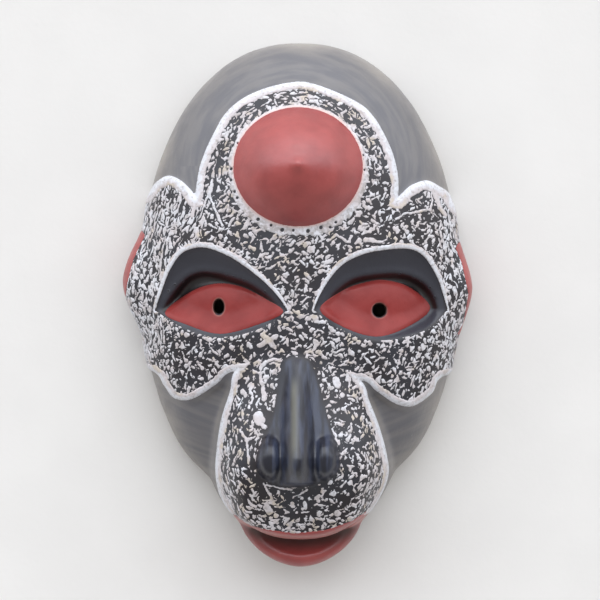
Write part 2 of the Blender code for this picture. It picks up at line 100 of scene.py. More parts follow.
# The painted zone in plan: an arch over the forehead, a band across the eyes and the muzzle.
ARCH_OUTLINE = (
    (-0.0560, 0.0520), (-0.0563, 0.0602), (-0.0555, 0.0665), (-0.0539, 0.0752), (-0.0506, 0.0844),
    (-0.0462, 0.0937), (-0.0414, 0.1024), (-0.0348, 0.1092), (-0.0261, 0.1146), (-0.0152, 0.1185),
    (-0.0054, 0.1206), (0.0022, 0.1210), (0.0098, 0.1191), (0.0185, 0.1158), (0.0272, 0.1119),
    (0.0348, 0.1073), (0.0403, 0.1013), (0.0446, 0.0942), (0.0484, 0.0861), (0.0511, 0.0784),
    (0.0529, 0.0680), (0.0526, 0.0579), (0.0500, 0.0470), (0.0380, 0.0330), (0.0000, 0.0260),
    (-0.0400, 0.0340),
)
BAND_OUTLINE = (
    (-0.1070, 0.0480), (-0.0850, 0.0612), (-0.0793, 0.0669), (-0.0721, 0.0703), (-0.0653, 0.0678),
    (-0.0591, 0.0622), (-0.0545, 0.0580), (-0.0380, 0.0690), (0.0000, 0.0780), (0.0360, 0.0690),
    (0.0505, 0.0575), (0.0545, 0.0596), (0.0600, 0.0645), (0.0687, 0.0676), (0.0760, 0.0648),
    (0.0825, 0.0610), (0.0870, 0.0540),
    (0.1070, 0.0430), (0.1070, -0.0290), (0.0780, -0.0390), (0.0722, -0.0478), (0.0615, -0.0546),
    (0.0517, -0.0531), (0.0410, -0.0458), (0.0322, -0.0400),
    (0.0000, -0.0370),
    (-0.0341, -0.0351), (-0.0458, -0.0429), (-0.0585, -0.0507), (-0.0683, -0.0507),
    (-0.0741, -0.0439), (-0.0810, -0.0361), (-0.1070, -0.0290),
)
MUZZLE_OUTLINE = (
    (-0.0322, -0.0322), (-0.0375, -0.0468), (-0.0424, -0.0624), (-0.0449, -0.0780),
    (-0.0458, -0.0926), (-0.0432, -0.1058), (-0.0353, -0.1172), (-0.0190, -0.1270),
    (0.0000, -0.1298), (0.0190, -0.1270), (0.0363, -0.1162), (0.0441, -0.1048),
    (0.0480, -0.0926), (0.0468, -0.0809), (0.0424, -0.0653), (0.0370, -0.0517),
    (0.0312, -0.0390), (0.0000, -0.0100),
)

# Eyes, seen from the front: the brow line, the lid's lower edge, the line under the eye, the almond
# of the eyeball, and its peephole with the hole's width and length as shares of PEEPHOLE_DIAMETER.
Eye = namedtuple("Eye", "brow lid under almond peephole peephole_oval")
LEFT_EYE = Eye(
    brow=((-0.0785, -0.0029), (-0.0735, 0.0125), (-0.0700, 0.0205), (-0.0650, 0.0275),
          (-0.0590, 0.0306), (-0.0520, 0.0314), (-0.0440, 0.0292), (-0.0337, 0.0240),
          (-0.0216, 0.0147), (-0.0130, 0.0060), (-0.0073, -0.0029)),
    lid=((-0.0765, -0.0029), (-0.0639, 0.0132), (-0.0546, 0.0182), (-0.0458, 0.0178),
         (-0.0390, 0.0161), (-0.0244, 0.0105), (-0.0088, -0.0015)),
    under=((-0.0215, -0.0124), (-0.0429, -0.0171), (-0.0624, -0.0124)),
    almond=((-0.0736, -0.0042), (-0.0600, 0.0070), (-0.0458, 0.0117), (-0.0322, 0.0102),
            (-0.0190, 0.0037), (-0.0088, -0.0037), (-0.0224, -0.0105), (-0.0429, -0.0156),
            (-0.0614, -0.0107)),
    peephole=(-0.0439, -0.0010),
    peephole_oval=(0.75, 1.08),
)
RIGHT_EYE = Eye(
    brow=((0.0078, -0.0029), (0.0125, 0.0088), (0.0215, 0.0209), (0.0330, 0.0273),
          (0.0450, 0.0299), (0.0566, 0.0308), (0.0640, 0.0290), (0.0700, 0.0233),
          (0.0760, 0.0120), (0.0800, -0.0029)),
    lid=((0.0098, -0.0010), (0.0234, 0.0114), (0.0341, 0.0159), (0.0536, 0.0176),
         (0.0658, 0.0132), (0.0726, 0.0059), (0.0765, -0.0039)),
    under=((0.0673, -0.0137), (0.0429, -0.0188), (0.0234, -0.0132)),
    almond=((0.0105, -0.0021), (0.0224, 0.0076), (0.0332, 0.0119), (0.0458, 0.0137),
            (0.0605, 0.0093), (0.0712, -0.0018), (0.0585, -0.0119), (0.0410, -0.0171),
            (0.0224, -0.0115)),
    peephole=(0.0429, -0.0029),
    peephole_oval=(1.00, 1.00),
)
EYES = (LEFT_EYE, RIGHT_EYE)

# Cone and nose, as places and shapes on the layout. A bigger fullness is a rounder form.
CONE_CENTRE = (-0.0010, 0.0745)
CONE_FULLNESS = 1.9
CONE_FOOT = 0.8
CONE_SHARES = (0.58, 0.345, 0.075)
CONE_NIPPLE_REACH = 0.10
NOSE_X = -0.0012
NOSE_ROOT_Y = -0.0262
NOSE_ROOT_SLOPE = 0.0075
NOSE_ROOT_HEIGHT = 0.0016
NOSE_TIP_Y = -0.0800
NOSE_TIP_DROP = 0.6
NOSE_BASE_Y = -0.0950
NOSE_BASE_ARCH = 7.0
NOSE_BASE_SLOPE = 0.0022
NOSE_ROOT_HALF_WIDTH = 0.0062
NOSE_TIP_HALF_WIDTH = 0.0102
NOSE_FULLNESS = 1.9
NOSE_FLANK = 0.80
NOSE_FOOT_HEIGHT = 0.0034
NOSE_FOOT_SLOPE = 0.0060
NOSE_WING_Y = -0.0815
NOSE_WING_REACH = 0.0146
NOSE_WING_RADII = (0.0080, 0.0120)
NOSE_WING_FULLNESS = 2.5
NOSE_WING_FLANK = 0.65
NOSE_FACET_SHARE = 0.95
NOSE_FACET_FALL = 0.20

# The foot of the nose, which stays plain black.
NOSE_OUTLINE = (
    (-0.0020, -0.0280), (-0.0074, -0.0292), (-0.0100, -0.0340), (-0.0116, -0.0410),
    (-0.0128, -0.0500), (-0.0148, -0.0600), (-0.0184, -0.0690), (-0.0226, -0.0780),
    (-0.0236, -0.0868), (-0.0203, -0.0932), (-0.0091, -0.0970), (0.0048, -0.0964),
    (0.0160, -0.0932), (0.0212, -0.0868), (0.0205, -0.0780), (0.0180, -0.0700),
    (0.0150, -0.0610), (0.0122, -0.0500), (0.0100, -0.0410), (0.0070, -0.0330),
    (0.0040, -0.0288),
)

# The muzzle, the cheeks beside it, the ears and the mouth.
MUZZLE_START_Y = -0.0250
MUZZLE_FULL_Y = -0.1000
LIP_EDGE_Y = -0.1180
MUZZLE_SHOULDER = 0.0150
LIP_SHOULDER = 0.0060
MUZZLE_FLANK = 0.55
CHIN_TUCK_HEIGHT = 0.0380
CHEEK_START_Y = -0.0320
CHEEK_FULL_Y = -0.0480
CHEEK_REACH = 0.0160
EAR_WIDTH = 0.0200
EAR_THICKNESS = 0.0200
EAR_HEIGHT = 0.0200
EAR_SQUARENESS = 1.55
Ear = namedtuple("Ear", "side reach y radius")
EARS = (Ear(-1, 0.0098, 0.0127, 0.0335), Ear(1, 0.0071, 0.0094, 0.0360))
LIP_CENTRE = (0.0003, -0.1130, 0.0330)
LIP_RADII = (0.0342, 0.0302, 0.0125)
LIP_SQUARENESS = 1.8
LIP_FULLNESS = 2.6
MOUTH_CENTRE = (0.0003, -0.1245, 0.0500)
MOUTH_RADII = (0.0350, 0.0165, 0.0128)
MOUTH_ROOF = 0.0490

# How softly neighbouring forms run into each other.
EAR_BLEND = 0.0040
LIP_BLEND = 0.0030
MOUTH_BLEND = 0.0015
NOSE_BLEND = 0.0020
HOLLOW_BLEND = 0.0040

# The marks of hand carving: slow waves on the front, and rows of gouge cuts in the hollow. The rows
# wander sideways and the cuts shift along them by shares of their length. A cut has a least share
# of its depth, gains the rest over its entry, and loses some of that again as the gouge lifts.
WAVE_DEPTH = 0.00035
WAVE_LENGTH = 0.0220
GOUGE_DEPTH = 0.0007
GOUGE_WIDTH = 0.0085
GOUGE_LENGTH = 0.0240
GOUGE_WANDER = 0.0022
GOUGE_WANDER_LENGTH = 0.0300
GOUGE_STAGGER = 0.37
GOUGE_SHIFT = 0.25
GOUGE_SHIFT_LENGTH = 0.0200
GOUGE_LEAST = 0.55
GOUGE_GAIN = 0.45
GOUGE_ENTRY = 0.25
GOUGE_LIFT = 0.60

# The tracing grid: its step, how many steps it reaches past the outline, and how far it reaches
# over the cone and below the back rim. The traced body is then thinned to so many triangles.
GRID_STEP = 0.0010
GRID_SPARE_STEPS = 4
GRID_ABOVE = 0.0155
GRID_BELOW = 0.0030
BODY_TRIANGLES = 185000

# A smooth curve has so many straight pieces from one point of an outline to the next. A skin's edge
# is cut no nearer to a point of the surface than this share of a triangle's side.
CURVE_STEPS = 6
CUT_MARGIN = 0.12

# Functions of a place in plan are worked out once on a grid this fine and wide.
PLAN_STEP = 0.0005
PLAN_HALF_WIDTH = 0.110
PLAN_HALF_LENGTH = 0.155
TINY = 1e-9

# Half widths of the white lines, how far the brow lines lie outside the brow, how far the others
# lap over the zone's edge, and where they end beside the mouth. The tails are short lines below the
# two lobes.
ARCH_LINE = 0.0020
LOBE_LINE = 0.0026
CHEEK_LINE = 0.0017
MUZZLE_LINE = 0.0016
BROW_LINE = 0.0014
BROW_SHIFT = 0.0011
LINE_LAP = 0.0003
LINE_END_Y = -0.1140
TAILS = (
    ((-0.0564, 0.0596), (-0.0579, 0.0564), (-0.0574, 0.0526), (-0.0582, 0.0483)),
    ((0.0715, 0.0640), (0.0748, 0.0574), (0.0765, 0.0525), (0.0794, 0.0494)),
)
TAIL_HALF_WIDTH = 0.0012

# How far the paint stands proud of the wood, how far its edges sink, and how wide they round off.
LINE_HEIGHT = 0.00045
RING_HEIGHT = 0.00060
DAB_HEIGHT = 0.00032
RED_HEIGHT = 0.00020
SKIN_SINK = 0.00012
SKIN_LOWEST = 0.0012
LINE_BEVEL = 0.0008
DAB_BEVEL = 0.0005
RED_BEVEL = 0.0006

# The ring round the cone: its outer oval, and pricks as degrees round the cone, how far out they
# are as a share of the cone's radius, and their widths.
RING_CENTRE = (-0.0010, 0.0725)
RING_RADII = (0.0378, 0.0362)
RING_LAP = 0.0004
RING_PRICKS = (
    (-178, 1.03, 0.0016), (-168, 1.06, 0.0017), (-157, 1.06, 0.0014), (-151, 1.07, 0.0015),
    (-125, 1.07, 0.0018), (-113, 1.06, 0.0014), (-103, 1.08, 0.0020), (-94, 1.06, 0.0014),
    (-82, 1.08, 0.0020), (-71, 1.07, 0.0019), (-64, 1.12, 0.0014), (-58, 1.09, 0.0014),
    (-3, 1.02, 0.0012), (4, 1.11, 0.0013), (11, 1.02, 0.0011), (157, 1.01, 0.0012),
)

# Pricks along the edges of the upper lids, the profile of one prick from its middle outward, as radii and
# heights, and the radius of its bottom, which is painted darker as painted shade in the pit.
LID_PRICKS = (
    (-0.0745, 0.0033), (-0.0717, 0.0077), (-0.0678, 0.0109), (-0.0639, 0.0131), (-0.0398, 0.0163),
    (-0.0355, 0.0152), (-0.0301, 0.0135), (-0.0188, 0.0071), (0.0541, 0.0168), (0.0619, 0.0147),
    (0.0659, 0.0131), (0.0706, 0.0099), (0.0732, 0.0044),
)
PRICK_SIDES = 12
PRICK_PROFILE = (
    (0.0, 0.00002), (0.0004, 0.00003), (0.0006, 0.00018), (0.0008, 0.00020), (0.0011, -0.0001),
)
PRICK_PIT = 0.0005

# Inner edges of the ears' red rims, as y and how far out from the middle, and how deep the red
# reaches.
RED_EAR_EDGES = {
    -1: ((-0.0010, 0.1000), (0.0040, 0.0962), (0.0120, 0.0948), (0.0244, 0.0916), (0.0298, 0.0892),
         (0.0352, 0.0865), (0.0405, 0.0836), (0.0440, 0.1000)),
    1: ((-0.0240, 0.1000), (-0.0200, 0.0845), (-0.0100, 0.0900), (0.0060, 0.0925), (0.0230, 0.0888),
        (0.0352, 0.0835), (0.0470, 0.0800), (0.0500, 0.1000)),
}
RED_EAR_DEPTH = 0.0015

# How far the red of the eyes is darkened all over, a painted shade for the shadow of the brows, and how far
# from a peephole the red ends and its pale edge reaches.
EYE_SHADE = 0.28
PEEPHOLE_GAP = 0.0003
PEEPHOLE_EDGE = 0.0012

# The red of the lips: its outline and lowest height, the painted shade along the slit of the mouth, which
# fades toward the lower lip, and the painted highlight along the edge of the upper lip over it.
LIP_OUTLINE = (
    (-0.0358, -0.1138), (-0.0271, -0.1187), (-0.0195, -0.1203), (-0.0027, -0.1225), (0.0136, -0.1208),
    (0.0266, -0.1165), (0.0385, -0.1105), (0.0395, -0.1150), (0.0340, -0.1300), (0.0200, -0.1490),
    (0.0000, -0.1540), (-0.0200, -0.1490), (-0.0320, -0.1320), (-0.0375, -0.1175),
)
LIP_LOWEST = 0.0225
SLIT_Y = -0.1278
SLIT_BEND = 8.0
SLIT_FADE = 0.0110
SLIT_EDGE = 0.0008
SLIT_REACH = (1.10, 0.75)
LIP_EDGE_HIGHLIGHT = 0.50
LIP_HIGHLIGHT_WIDTH = 0.0018

# The white paint between the lines lies in blots that run into each other. Their grain differs from
# part to part of the zone: each grain has an oval, and the first oval that holds a place has it. The
# angle is the direction of the grain in plan, unless it follows the ring, the stretch is how much
# longer than wide the blots are, and the size is about how wide. A lower level leaves less black
# between them. What a grain doesn't say is as in the plain grain, which comes last.
Grain = namedtuple(
    "Grain", "centre radii angle stretch size level follows_ring",
    defaults=(0.5, 1.3, 0.0013, 0.16, False),
)
GRAINS = (
    Grain((-0.0010, 0.0870), (0.0560, 0.0330), stretch=4.6, size=0.0009, level=0.04, follows_ring=True),
    Grain((-0.0760, 0.0480), (0.0250, 0.0230), angle=1.15, stretch=2.6, size=0.0010, level=-0.08),
    Grain((-0.0880, 0.0100), (0.0200, 0.0440), angle=1.2, stretch=2.0, size=0.0012, level=-0.12),
    Grain((0.0900, 0.0150), (0.0170, 0.0500), angle=1.9, stretch=1.9, size=0.0012, level=0.00),
    Grain((-0.0380, -0.1030), (0.0150, 0.0160), angle=-1.1, stretch=2.4, level=0.12),
    Grain((0.0010, -0.1030), (0.0260, 0.0110), angle=0.3, level=0.40),
    Grain((0.0010, -0.1190), (0.0360, 0.0090), level=0.00),
    Grain((0.0330, -0.0760), (0.0170, 0.0400), angle=1.2, level=0.24),
    Grain((-0.0320, -0.0740), (0.0170, 0.0400), angle=1.5, stretch=1.5, level=0.24),
    Grain((0.0, 0.0), (1.0, 1.0)),
)

# How far the blots' outlines stray and how wide their edges are, as shares of their size, how much
# larger waves change their cover, and the black gap round each stroke.
BLOT_WARP = 0.65
BLOT_EDGE = 0.625
BLOT_COVER = 0.10
BLOT_GAP = 0.0004

# Loose strokes among the blots: a stroke's least and greatest length and width, how much it bends
# and tapers, the gap left round it, and the shares of strokes that may meet another, that fork, and
# of places tried. A side stroke is clear of its main stroke after so many points.
STROKE_LENGTH = (0.0015, 0.0055)
STROKE_WIDTH = (0.0009, 0.0018)
STROKE_BEND = 0.7
STROKE_TAPER = 0.5
STROKE_GAP = 0.0024
STROKE_JOINS = 0.6
STROKE_FORKS = 0.6
STROKE_TRIES = 0.5
FORK_TURN = (0.9, 1.7)
FORK_START = 4

# Strokes given one by one: places in plan and widths at both ends.
MARKS = (
    (((-0.0484, 0.0631), (-0.0511, 0.0550), (-0.0543, 0.0464)), (0.0014, 0.0008)),
    (((-0.0495, 0.0609), (-0.0463, 0.0523), (-0.0420, 0.0432)), (0.0012, 0.0019)),
    (((-0.0474, 0.0674), (-0.0490, 0.0609)), (0.0016, 0.0032)),
    (((0.0517, 0.0464), (0.0560, 0.0491), (0.0667, 0.0512), (0.0710, 0.0518)), (0.0011, 0.0016)),
    (((0.0710, 0.0518), (0.0721, 0.0571), (0.0716, 0.0620)), (0.0016, 0.0011)),
    (((0.0145, 0.0345), (0.0194, 0.0378), (0.0264, 0.0335), (0.0274, 0.0372)), (0.0016, 0.0016)),
    (((0.0350, 0.0351), (0.0398, 0.0345), (0.0441, 0.0340)), (0.0027, 0.0014)),
    (((-0.0216, -0.0220), (-0.0129, -0.0166)), (0.0027, 0.0027)),
    (((-0.0199, -0.0161), (-0.0135, -0.0225)), (0.0032, 0.0027)),
    (((-0.0225, -0.0594), (-0.0214, -0.0615)), (0.0059, 0.0059)),
    (((-0.0193, -0.0647), (-0.0188, -0.0650)), (0.0027, 0.0027)),
    (((0.0194, -0.0403), (0.0205, -0.0430)), (0.0043, 0.0038)),
    (((-0.0210, -0.0338), (-0.0183, -0.0306), (-0.0135, -0.0290), (-0.0102, -0.0301)),
     (0.0022, 0.0016)),
    (((-0.0210, -0.0355), (-0.0210, -0.0403), (-0.0194, -0.0462), (-0.0194, -0.0500)),
     (0.0011, 0.0030)),
    (((0.0016, -0.0306), (0.0032, -0.0338), (0.0059, -0.0387)), (0.0022, 0.0014)),
    (((-0.0177, -0.0958), (-0.0107, -0.0979), (-0.0048, -0.0984)), (0.0011, 0.0012)),
    (((-0.0193, -0.0953), (-0.0166, -0.1001), (-0.0145, -0.1055)), (0.0011, 0.0016)),
    (((0.0038, -0.0985), (0.0000, -0.1006), (-0.0038, -0.1028)), (0.0014, 0.0008)),
    (((-0.0199, -0.1045), (-0.0134, -0.1045)), (0.0011, 0.0011)),
    (((-0.0204, -0.1062), (-0.0134, -0.1062)), (0.0011, 0.0011)),
    (((-0.0177, -0.1088), (-0.0161, -0.1110)), (0.0043, 0.0038)),
    (((-0.0129, -0.1126), (-0.0123, -0.1137)), (0.0030, 0.0030)),
    (((-0.0043, -0.1062), (-0.0038, -0.1078)), (0.0024, 0.0024)),
    (((0.0027, -0.1056), (0.0027, -0.1083), (-0.0027, -0.1115)), (0.0024, 0.0012)),
    (((0.0199, -0.1115), (0.0209, -0.1137)), (0.0038, 0.0032)),
    (((-0.0322, -0.0669), (-0.0289, -0.0717), (-0.0279, -0.0771), (-0.0273, -0.0846)),
     (0.0016, 0.0014)),
    (((-0.0279, -0.0722), (-0.0236, -0.0701)), (0.0016, 0.0008)),
    (((-0.0307, -0.0468), (-0.0291, -0.0484)), (0.0032, 0.0027)),
)

# Thick blobs close together: how far apart they are, their least and greatest length and how much
# they taper. Their rows lie under each eye and along the upper lip: places in plan and the blobs'
# least and greatest widths.
BEAD_STEP = 0.0030
BEAD_LENGTH = (0.0006, 0.0020)
BEAD_TAPER = 0.3
BEAD_ROWS = (
    (((-0.0727, -0.0085), (-0.0690, -0.0117), (-0.0636, -0.0144), (-0.0539, -0.0171),
      (-0.0431, -0.0182), (-0.0350, -0.0171), (-0.0269, -0.0150)), (0.0014, 0.0026)),
    (((0.0070, -0.0058), (0.0162, -0.0123), (0.0269, -0.0177), (0.0404, -0.0204),
      (0.0539, -0.0171), (0.0690, -0.0107), (0.0754, -0.0069)), (0.0014, 0.0026)),
    (((-0.0330, -0.1125), (-0.0200, -0.1180), (-0.0030, -0.1205), (0.0140, -0.1185),
      (0.0270, -0.1140), (0.0370, -0.1080)), (0.0014, 0.0024)),
)

# How strokes are laid: the distance between their points, how softly they run together, how far
# round them distances are worked out, and how far and over what length their outlines wobble. As
# shares of a stroke's width: how much its ends thin, how high and long its bulge is, and how its
# width shakes.
STROKE_STEP = 0.0008
STROKE_BLEND = 0.0009
STROKE_CLEAR = 0.0025
WOBBLE = 0.00035
WOBBLE_LENGTH = 0.0022
THINNING = (0.2, 1.0)
BULGE = (0.0, 0.9)
BULGE_LENGTH = 0.4
SHAKE = (0.85, 1.15)
FAR = 0.05

# How near the dabs come to what is round them or how far they lap over it, how much room a loose
# stroke needs, and where the dabs are parted into two pieces.
DAB_ZONE_GAP = 0.0004
DAB_SOCKET_GAP = 0.0002
DAB_RING_LAP = 0.0006
DAB_LIP_LAP = 0.0003
STROKE_ROOM = 0.0006
DAB_SPLIT_Y = 0.0250

# How the paint varies: its usual level, how far it strays from that, over what length, and the seed
# of the noise that it follows. Heights are shares of a full height.
Variation = namedtuple("Variation", "level change length seed")
DAB_THICKNESS = Variation(0.80, 0.40, 0.0030, 9)
LINE_THICKNESS = Variation(0.85, 0.30, 0.0040, 10)
RING_THICKNESS = Variation(0.80, 0.35, 0.0030, 14)
DAB_DIRT = Variation(0.28, 0.30, 0.0060, 25)
LINE_DIRT = Variation(0.12, 0.30, 0.0100, 24)
LINE_TINT = Variation(0.05, 0.30, 0.0060, 11)
RING_TINT = Variation(0.50, 0.50, 0.0060, 15)
RUBBING_AND_SHEEN = Variation(0.75, 0.60, 0.0200, 17)

# How ragged the edges of the paint are: how far they stray, over a coarse and a fine length, and the
# seed of the noise that they follow.
Ragged = namedtuple("Ragged", "height coarse fine seed")
LINE_EDGE = Ragged(0.00045, 0.0035, 0.0012, 5)
DAB_EDGE = Ragged(0.00018, 0.0018, 0.0010, 7)
RING_EDGE = Ragged(0.00090, 0.0050, 0.0018, 12)

# The tint of the dabs runs from cool to pink, and it is pinker toward the middle of the face.
DAB_TINT = Variation(0.45, 0.35, 0.0070, 18)
DAB_TINT_FINE = Variation(0.00, 0.35, 0.0030, 19)
DAB_MIDDLE_TINT = 0.20
DAB_MIDDLE_REACH = (0.080, 0.030)

# Where a line begins to turn from white to cream and is all cream, as shares of its half width,
# how unevenly, and how far the cream tints it. The lines over the eyes are thinner near the eyes'
# ends and low down.
ZONE_CREAM = (0.4, 1.5, 0.4)
BROW_CREAM = (0.1, 0.7, 0.3)
CREAM_TINT = 0.75
BROW_LOW_SHARE = 0.75
BROW_HIGH_GAIN = 0.30
BROW_HIGH_Y = 0.028
BROW_END_SHARE = 0.50
BROW_END_LENGTH = 0.012

# The outer part of the ring is greyer, and red has rubbed off on its inner edge. A raised rim stands round
# each prick.
RING_GREYING = 0.62
RING_GREYING_REACH = (0.0005, 0.0014)
RING_PINKNESS = 0.70
RING_PINK_REACH = 0.0012
PRICK_RIM_HEIGHT = 0.50
PRICK_RIM_WIDTH = 0.0005

# How soft the edges of the painted areas are on the wood, how far the skins' surface reaches past
# the zone and the red, and how far below the front the surface of the hollow begins.
ZONE_EDGE = 0.0008
SOCKET_EDGE = 0.0010
UNDER_LID_EDGE = 0.0012
NOSE_EDGE = 0.0020
ZONE_MARGIN = 0.0015
RED_MARGIN = 0.0010
HOLLOW_START = LEAST_WALL / 3

# Bare wood shows just above the back rim, and where the sides are steep the black is rubbed brown and
# lightened by a painted sheen of the pale floor: the upward share of the surface where this begins and
# where it is full.
BARE_RIM = (0.0014, 0.0006)
BARE_RIM_WAVE = 0.0010
RUB_AND_SHEEN_START = 0.80
RUB_AND_SHEEN_FULL = 0.25

# A painted highlight: a tan streak down the ridge of the nose, where the ridge catches the sky.
TAN_X = -0.0031
TAN_HALF_WIDTH = 0.0030
TAN_START_Y = -0.0360
TAN_FADE_IN = 0.0100
TAN_END_Y = -0.0860
TAN_FADE_OUT = 0.0140

# Random draws start here, so every run gives the same mask.
SEED = 11

# Colours of the paints, the wood and the floor.
# The satin black of the crown and cheeks, and its brush streaks, are lifted to a dark grey: a painted sheen
# of the pale sky.
CROWN_BLACK_WITH_SHEEN = (0.128, 0.126, 0.138)
CROWN_WORN_WITH_SHEEN = (0.176, 0.168, 0.169)
RUBBED_BROWN_AND_SHEEN = (0.310, 0.280, 0.250)
ZONE_BLACK = (0.014, 0.010, 0.013)
ZONE_BLACK_BLUE = (0.022, 0.023, 0.031)
SOCKET_BLUE = (0.032, 0.033, 0.045)
NOSE_BLACK_COLOUR = (0.011, 0.012, 0.021)
NOSE_BLUE = (0.036, 0.044, 0.074)
NOSE_HIGHLIGHT_TAN = (0.110, 0.108, 0.088)
# Nearly black, darker than the zone: painted shade under the lid edges and in the pricks' pits.
UNDER_LID_SHADE = (0.008, 0.005, 0.006)
WOOD_DARK = (0.160, 0.090, 0.045)
WOOD_LIGHT = (0.270, 0.165, 0.090)
WOOD_STAIN = (0.090, 0.050, 0.028)
WHITE_COOL = (0.720, 0.730, 0.775)
WHITE_PINK = (0.610, 0.550, 0.555)
WHITE_CREAM = (0.600, 0.530, 0.460)
WHITE_DIRT = (0.300, 0.270, 0.250)
RING_PINK = (0.700, 0.500, 0.460)
RED_DEEP = (0.290, 0.034, 0.032)
RED_WARM = (0.370, 0.052, 0.048)
RED_SPOT = (0.200, 0.028, 0.024)
RED_PALE = (0.480, 0.220, 0.190)
# The dark red toward which painted shade darkens the red.
RED_SHADE = (0.060, 0.014, 0.010)
FLOOR_COLOUR = (0.800, 0.780, 0.750)
FLOOR_MOTTLING = 0.97

# The fine patterns of the materials: size, detail and, where they are stretched, the stretch.
BLACK_CLOUDS = (0.030, 3.0)
BLACK_PATCHES = (0.006, 3.0)
BLACK_PORES = (0.0012, 3.0)
NOSE_STROKES = (0.0030, 3.0, (1.0, 0.12, 0.12))
WOOD_GRAIN = (0.0030, 4.0, (1.0, 0.06, 1.0))
WHITE_SPECKS = (0.0016, 3.0)
WHITE_SMEARS = (0.0024, 4.0)
WHITE_LUMPS = (0.0022, 3.0)
RED_CLOUDS = (0.014, 3.0)
RED_PATCHES = (0.005, 3.0)
RED_GRAIN = (0.0016, 4.0)
FLOOR_CLOUDS = (0.05, 3.0)
FLOOR_GRAIN = (0.004, 2.0)

# The brush streaks round the crown: size, detail, and the length that a radian round the cone has.
CROWN_STREAKS = (0.0035, 4.0, 0.008)

# How far each pattern's bumps stand up, and how strongly they show.
BLACK_BUMP = (0.00012, 0.5)
NOSE_BUMP = (0.0006, 0.8)
WOOD_BUMP = (0.0002, 0.6)
WHITE_BUMP = (0.0004, 0.6)
RED_BUMP = (0.00015, 0.5)
FLOOR_BUMP = (0.0002, 0.4)

# How rough the surfaces are, and how much the paints shine.
BLACK_ROUGHNESS = (0.38, 0.50)
NOSE_ROUGHNESS = 0.29
WOOD_ROUGHNESS = 0.75
WHITE_ROUGHNESS = (0.42, 0.58)
RED_ROUGHNESS = (0.32, 0.42)
FLOOR_ROUGHNESS = 0.8
PLAIN_SHINE = 0.5
BLACK_SHINE = 0.60
RED_SHINE = 1.0
DULL_RED_SHINE = 0.25

# The camera looks straight down, with the mask's middle near the middle of its view.
SENSOR = 36.0
CAMERA_HEIGHT = 1.6
FOCUS_HEIGHT = 0.012
VIEW_WIDTH = 0.3333
VIEW_MIDDLE_X = 0.0014
VIEW_MIDDLE_Y = 0.0018

# The mask is lit as if it hung on a wall: pale sky beyond the crown with a soft sun in it, and
# dimmer ground beyond the chin. The sky starts and is full at these shares of a direction that lie
# toward the crown.
SKY_COLOUR = (1.96, 2.04, 2.18)
GROUND_COLOUR = (0.46, 0.45, 0.44)
SKY_START = 0.02
SKY_FULL = 0.36
SUN_TOWARD = (0.06, 1.00, 0.70)
SUN_STRENGTH = 0.5
SUN_SPREAD = 0.90
SUN_COLOUR = (1.0, 0.97, 0.94)
FLOOR_SIZE = 6.0
FLOOR_Z = -0.0004


def smooth_max(a, b, blend):
    mix = np.clip(0.5 + 0.5 * (a - b) / blend, 0.0, 1.0)
    return b + (a - b) * mix + blend * mix * (1.0 - mix)


def smooth_min(a, b, blend):
    return -smooth_max(-a, -b, blend)


def smooth_step(low, high, value):
    t = np.clip((value - low) / (high - low), 0.0, 1.0)
    return t * t * (3.0 - 2.0 * t)


def inward(distance, width):
    """0 outside an outline, and rising to 1 this far inside it."""
    return smooth_step(0.0, -width, distance)


def levelling(distance, reach):
    """Rising evenly from 0 at a line and levelling off at 1 this far from it."""
    return 2 * smooth_step(-reach, reach, distance) - 1


def noise(x, y, z, size, seed):
    """Smooth random values from -1 to 1 that change over about the given size."""
    place = np.stack(np.broadcast_arrays(x, y, z), axis=-1) / size + 31.7 * seed
    cell = np.floor(place).astype(np.int64)
    share = place - cell
    share = share * share * (3 - 2 * share)
    total = np.zeros(place.shape[:-1])
    for corner in np.ndindex(2, 2, 2):
        key = cell + np.array(corner)
        mixed = (key[..., 0] * 73856093) ^ (key[..., 1] * 19349663) ^ (key[..., 2] * 83492791)
        mixed = (mixed ^ (mixed >> 13)) & 0xFFFFFFFF
        mixed = (mixed * 1274126177 + seed) & 0xFFFFFFFF
        mixed = (mixed ^ (mixed >> 15)) * 2246822519 & 0xFFFFFFFF
        value = (mixed >> 8) / 2.0 ** 23 - 1
        weight = np.prod(np.where(np.array(corner) == 1, share, 1 - share), axis=-1)
        total += weight * value
    return total


def curve(points, closed):
    """Points along a smooth curve through the given ones."""
    knots = np.array(points, float)
    count = len(knots)
    t = (np.arange(CURVE_STEPS) / CURVE_STEPS)[:, None]
    pieces = []
    for i in range(count if closed else count - 1):
        around = [i - 1, i, i + 1, i + 2]
        if closed:
            a, b, c, d = knots[np.mod(around, count)]
        else:
            a, b, c, d = knots[np.clip(around, 0, count - 1)]
        bend = 2 * a - 5 * b + 4 * c - d
        twist = 3 * b - a - 3 * c + d
        pieces.append(0.5 * (2 * b + (c - a) * t + bend * t ** 2 + twist * t ** 3))
    if not closed:
        pieces.append(knots[-1:])
    return np.concatenate(pieces)


def even_places(points, step):
    """Places this far apart along a smooth curve through the given points."""
    line = curve(points, closed=False)
    lengths = np.hypot(*np.diff(line, axis=0).T)
    covered = np.concatenate([[0.0], np.cumsum(lengths)])
    wanted = np.arange(step / 2, covered[-1], step)
    return np.stack([np.interp(wanted, covered, line[:, axis]) for axis in (0, 1)], axis=1)


def line_distance(x, y, line):
    """Distance in plan to a chain of straight pieces."""
    nearest = np.full(np.broadcast(x, y).shape, np.inf)
    for (ax, ay), (bx, by) in zip(line[:-1], line[1:]):
        dx = bx - ax
        dy = by - ay
        t = np.clip(((x - ax) * dx + (y - ay) * dy) / (dx * dx + dy * dy), 0.0, 1.0)
        nearest = np.minimum(nearest, (x - ax - t * dx) ** 2 + (y - ay - t * dy) ** 2)
    return np.sqrt(nearest)


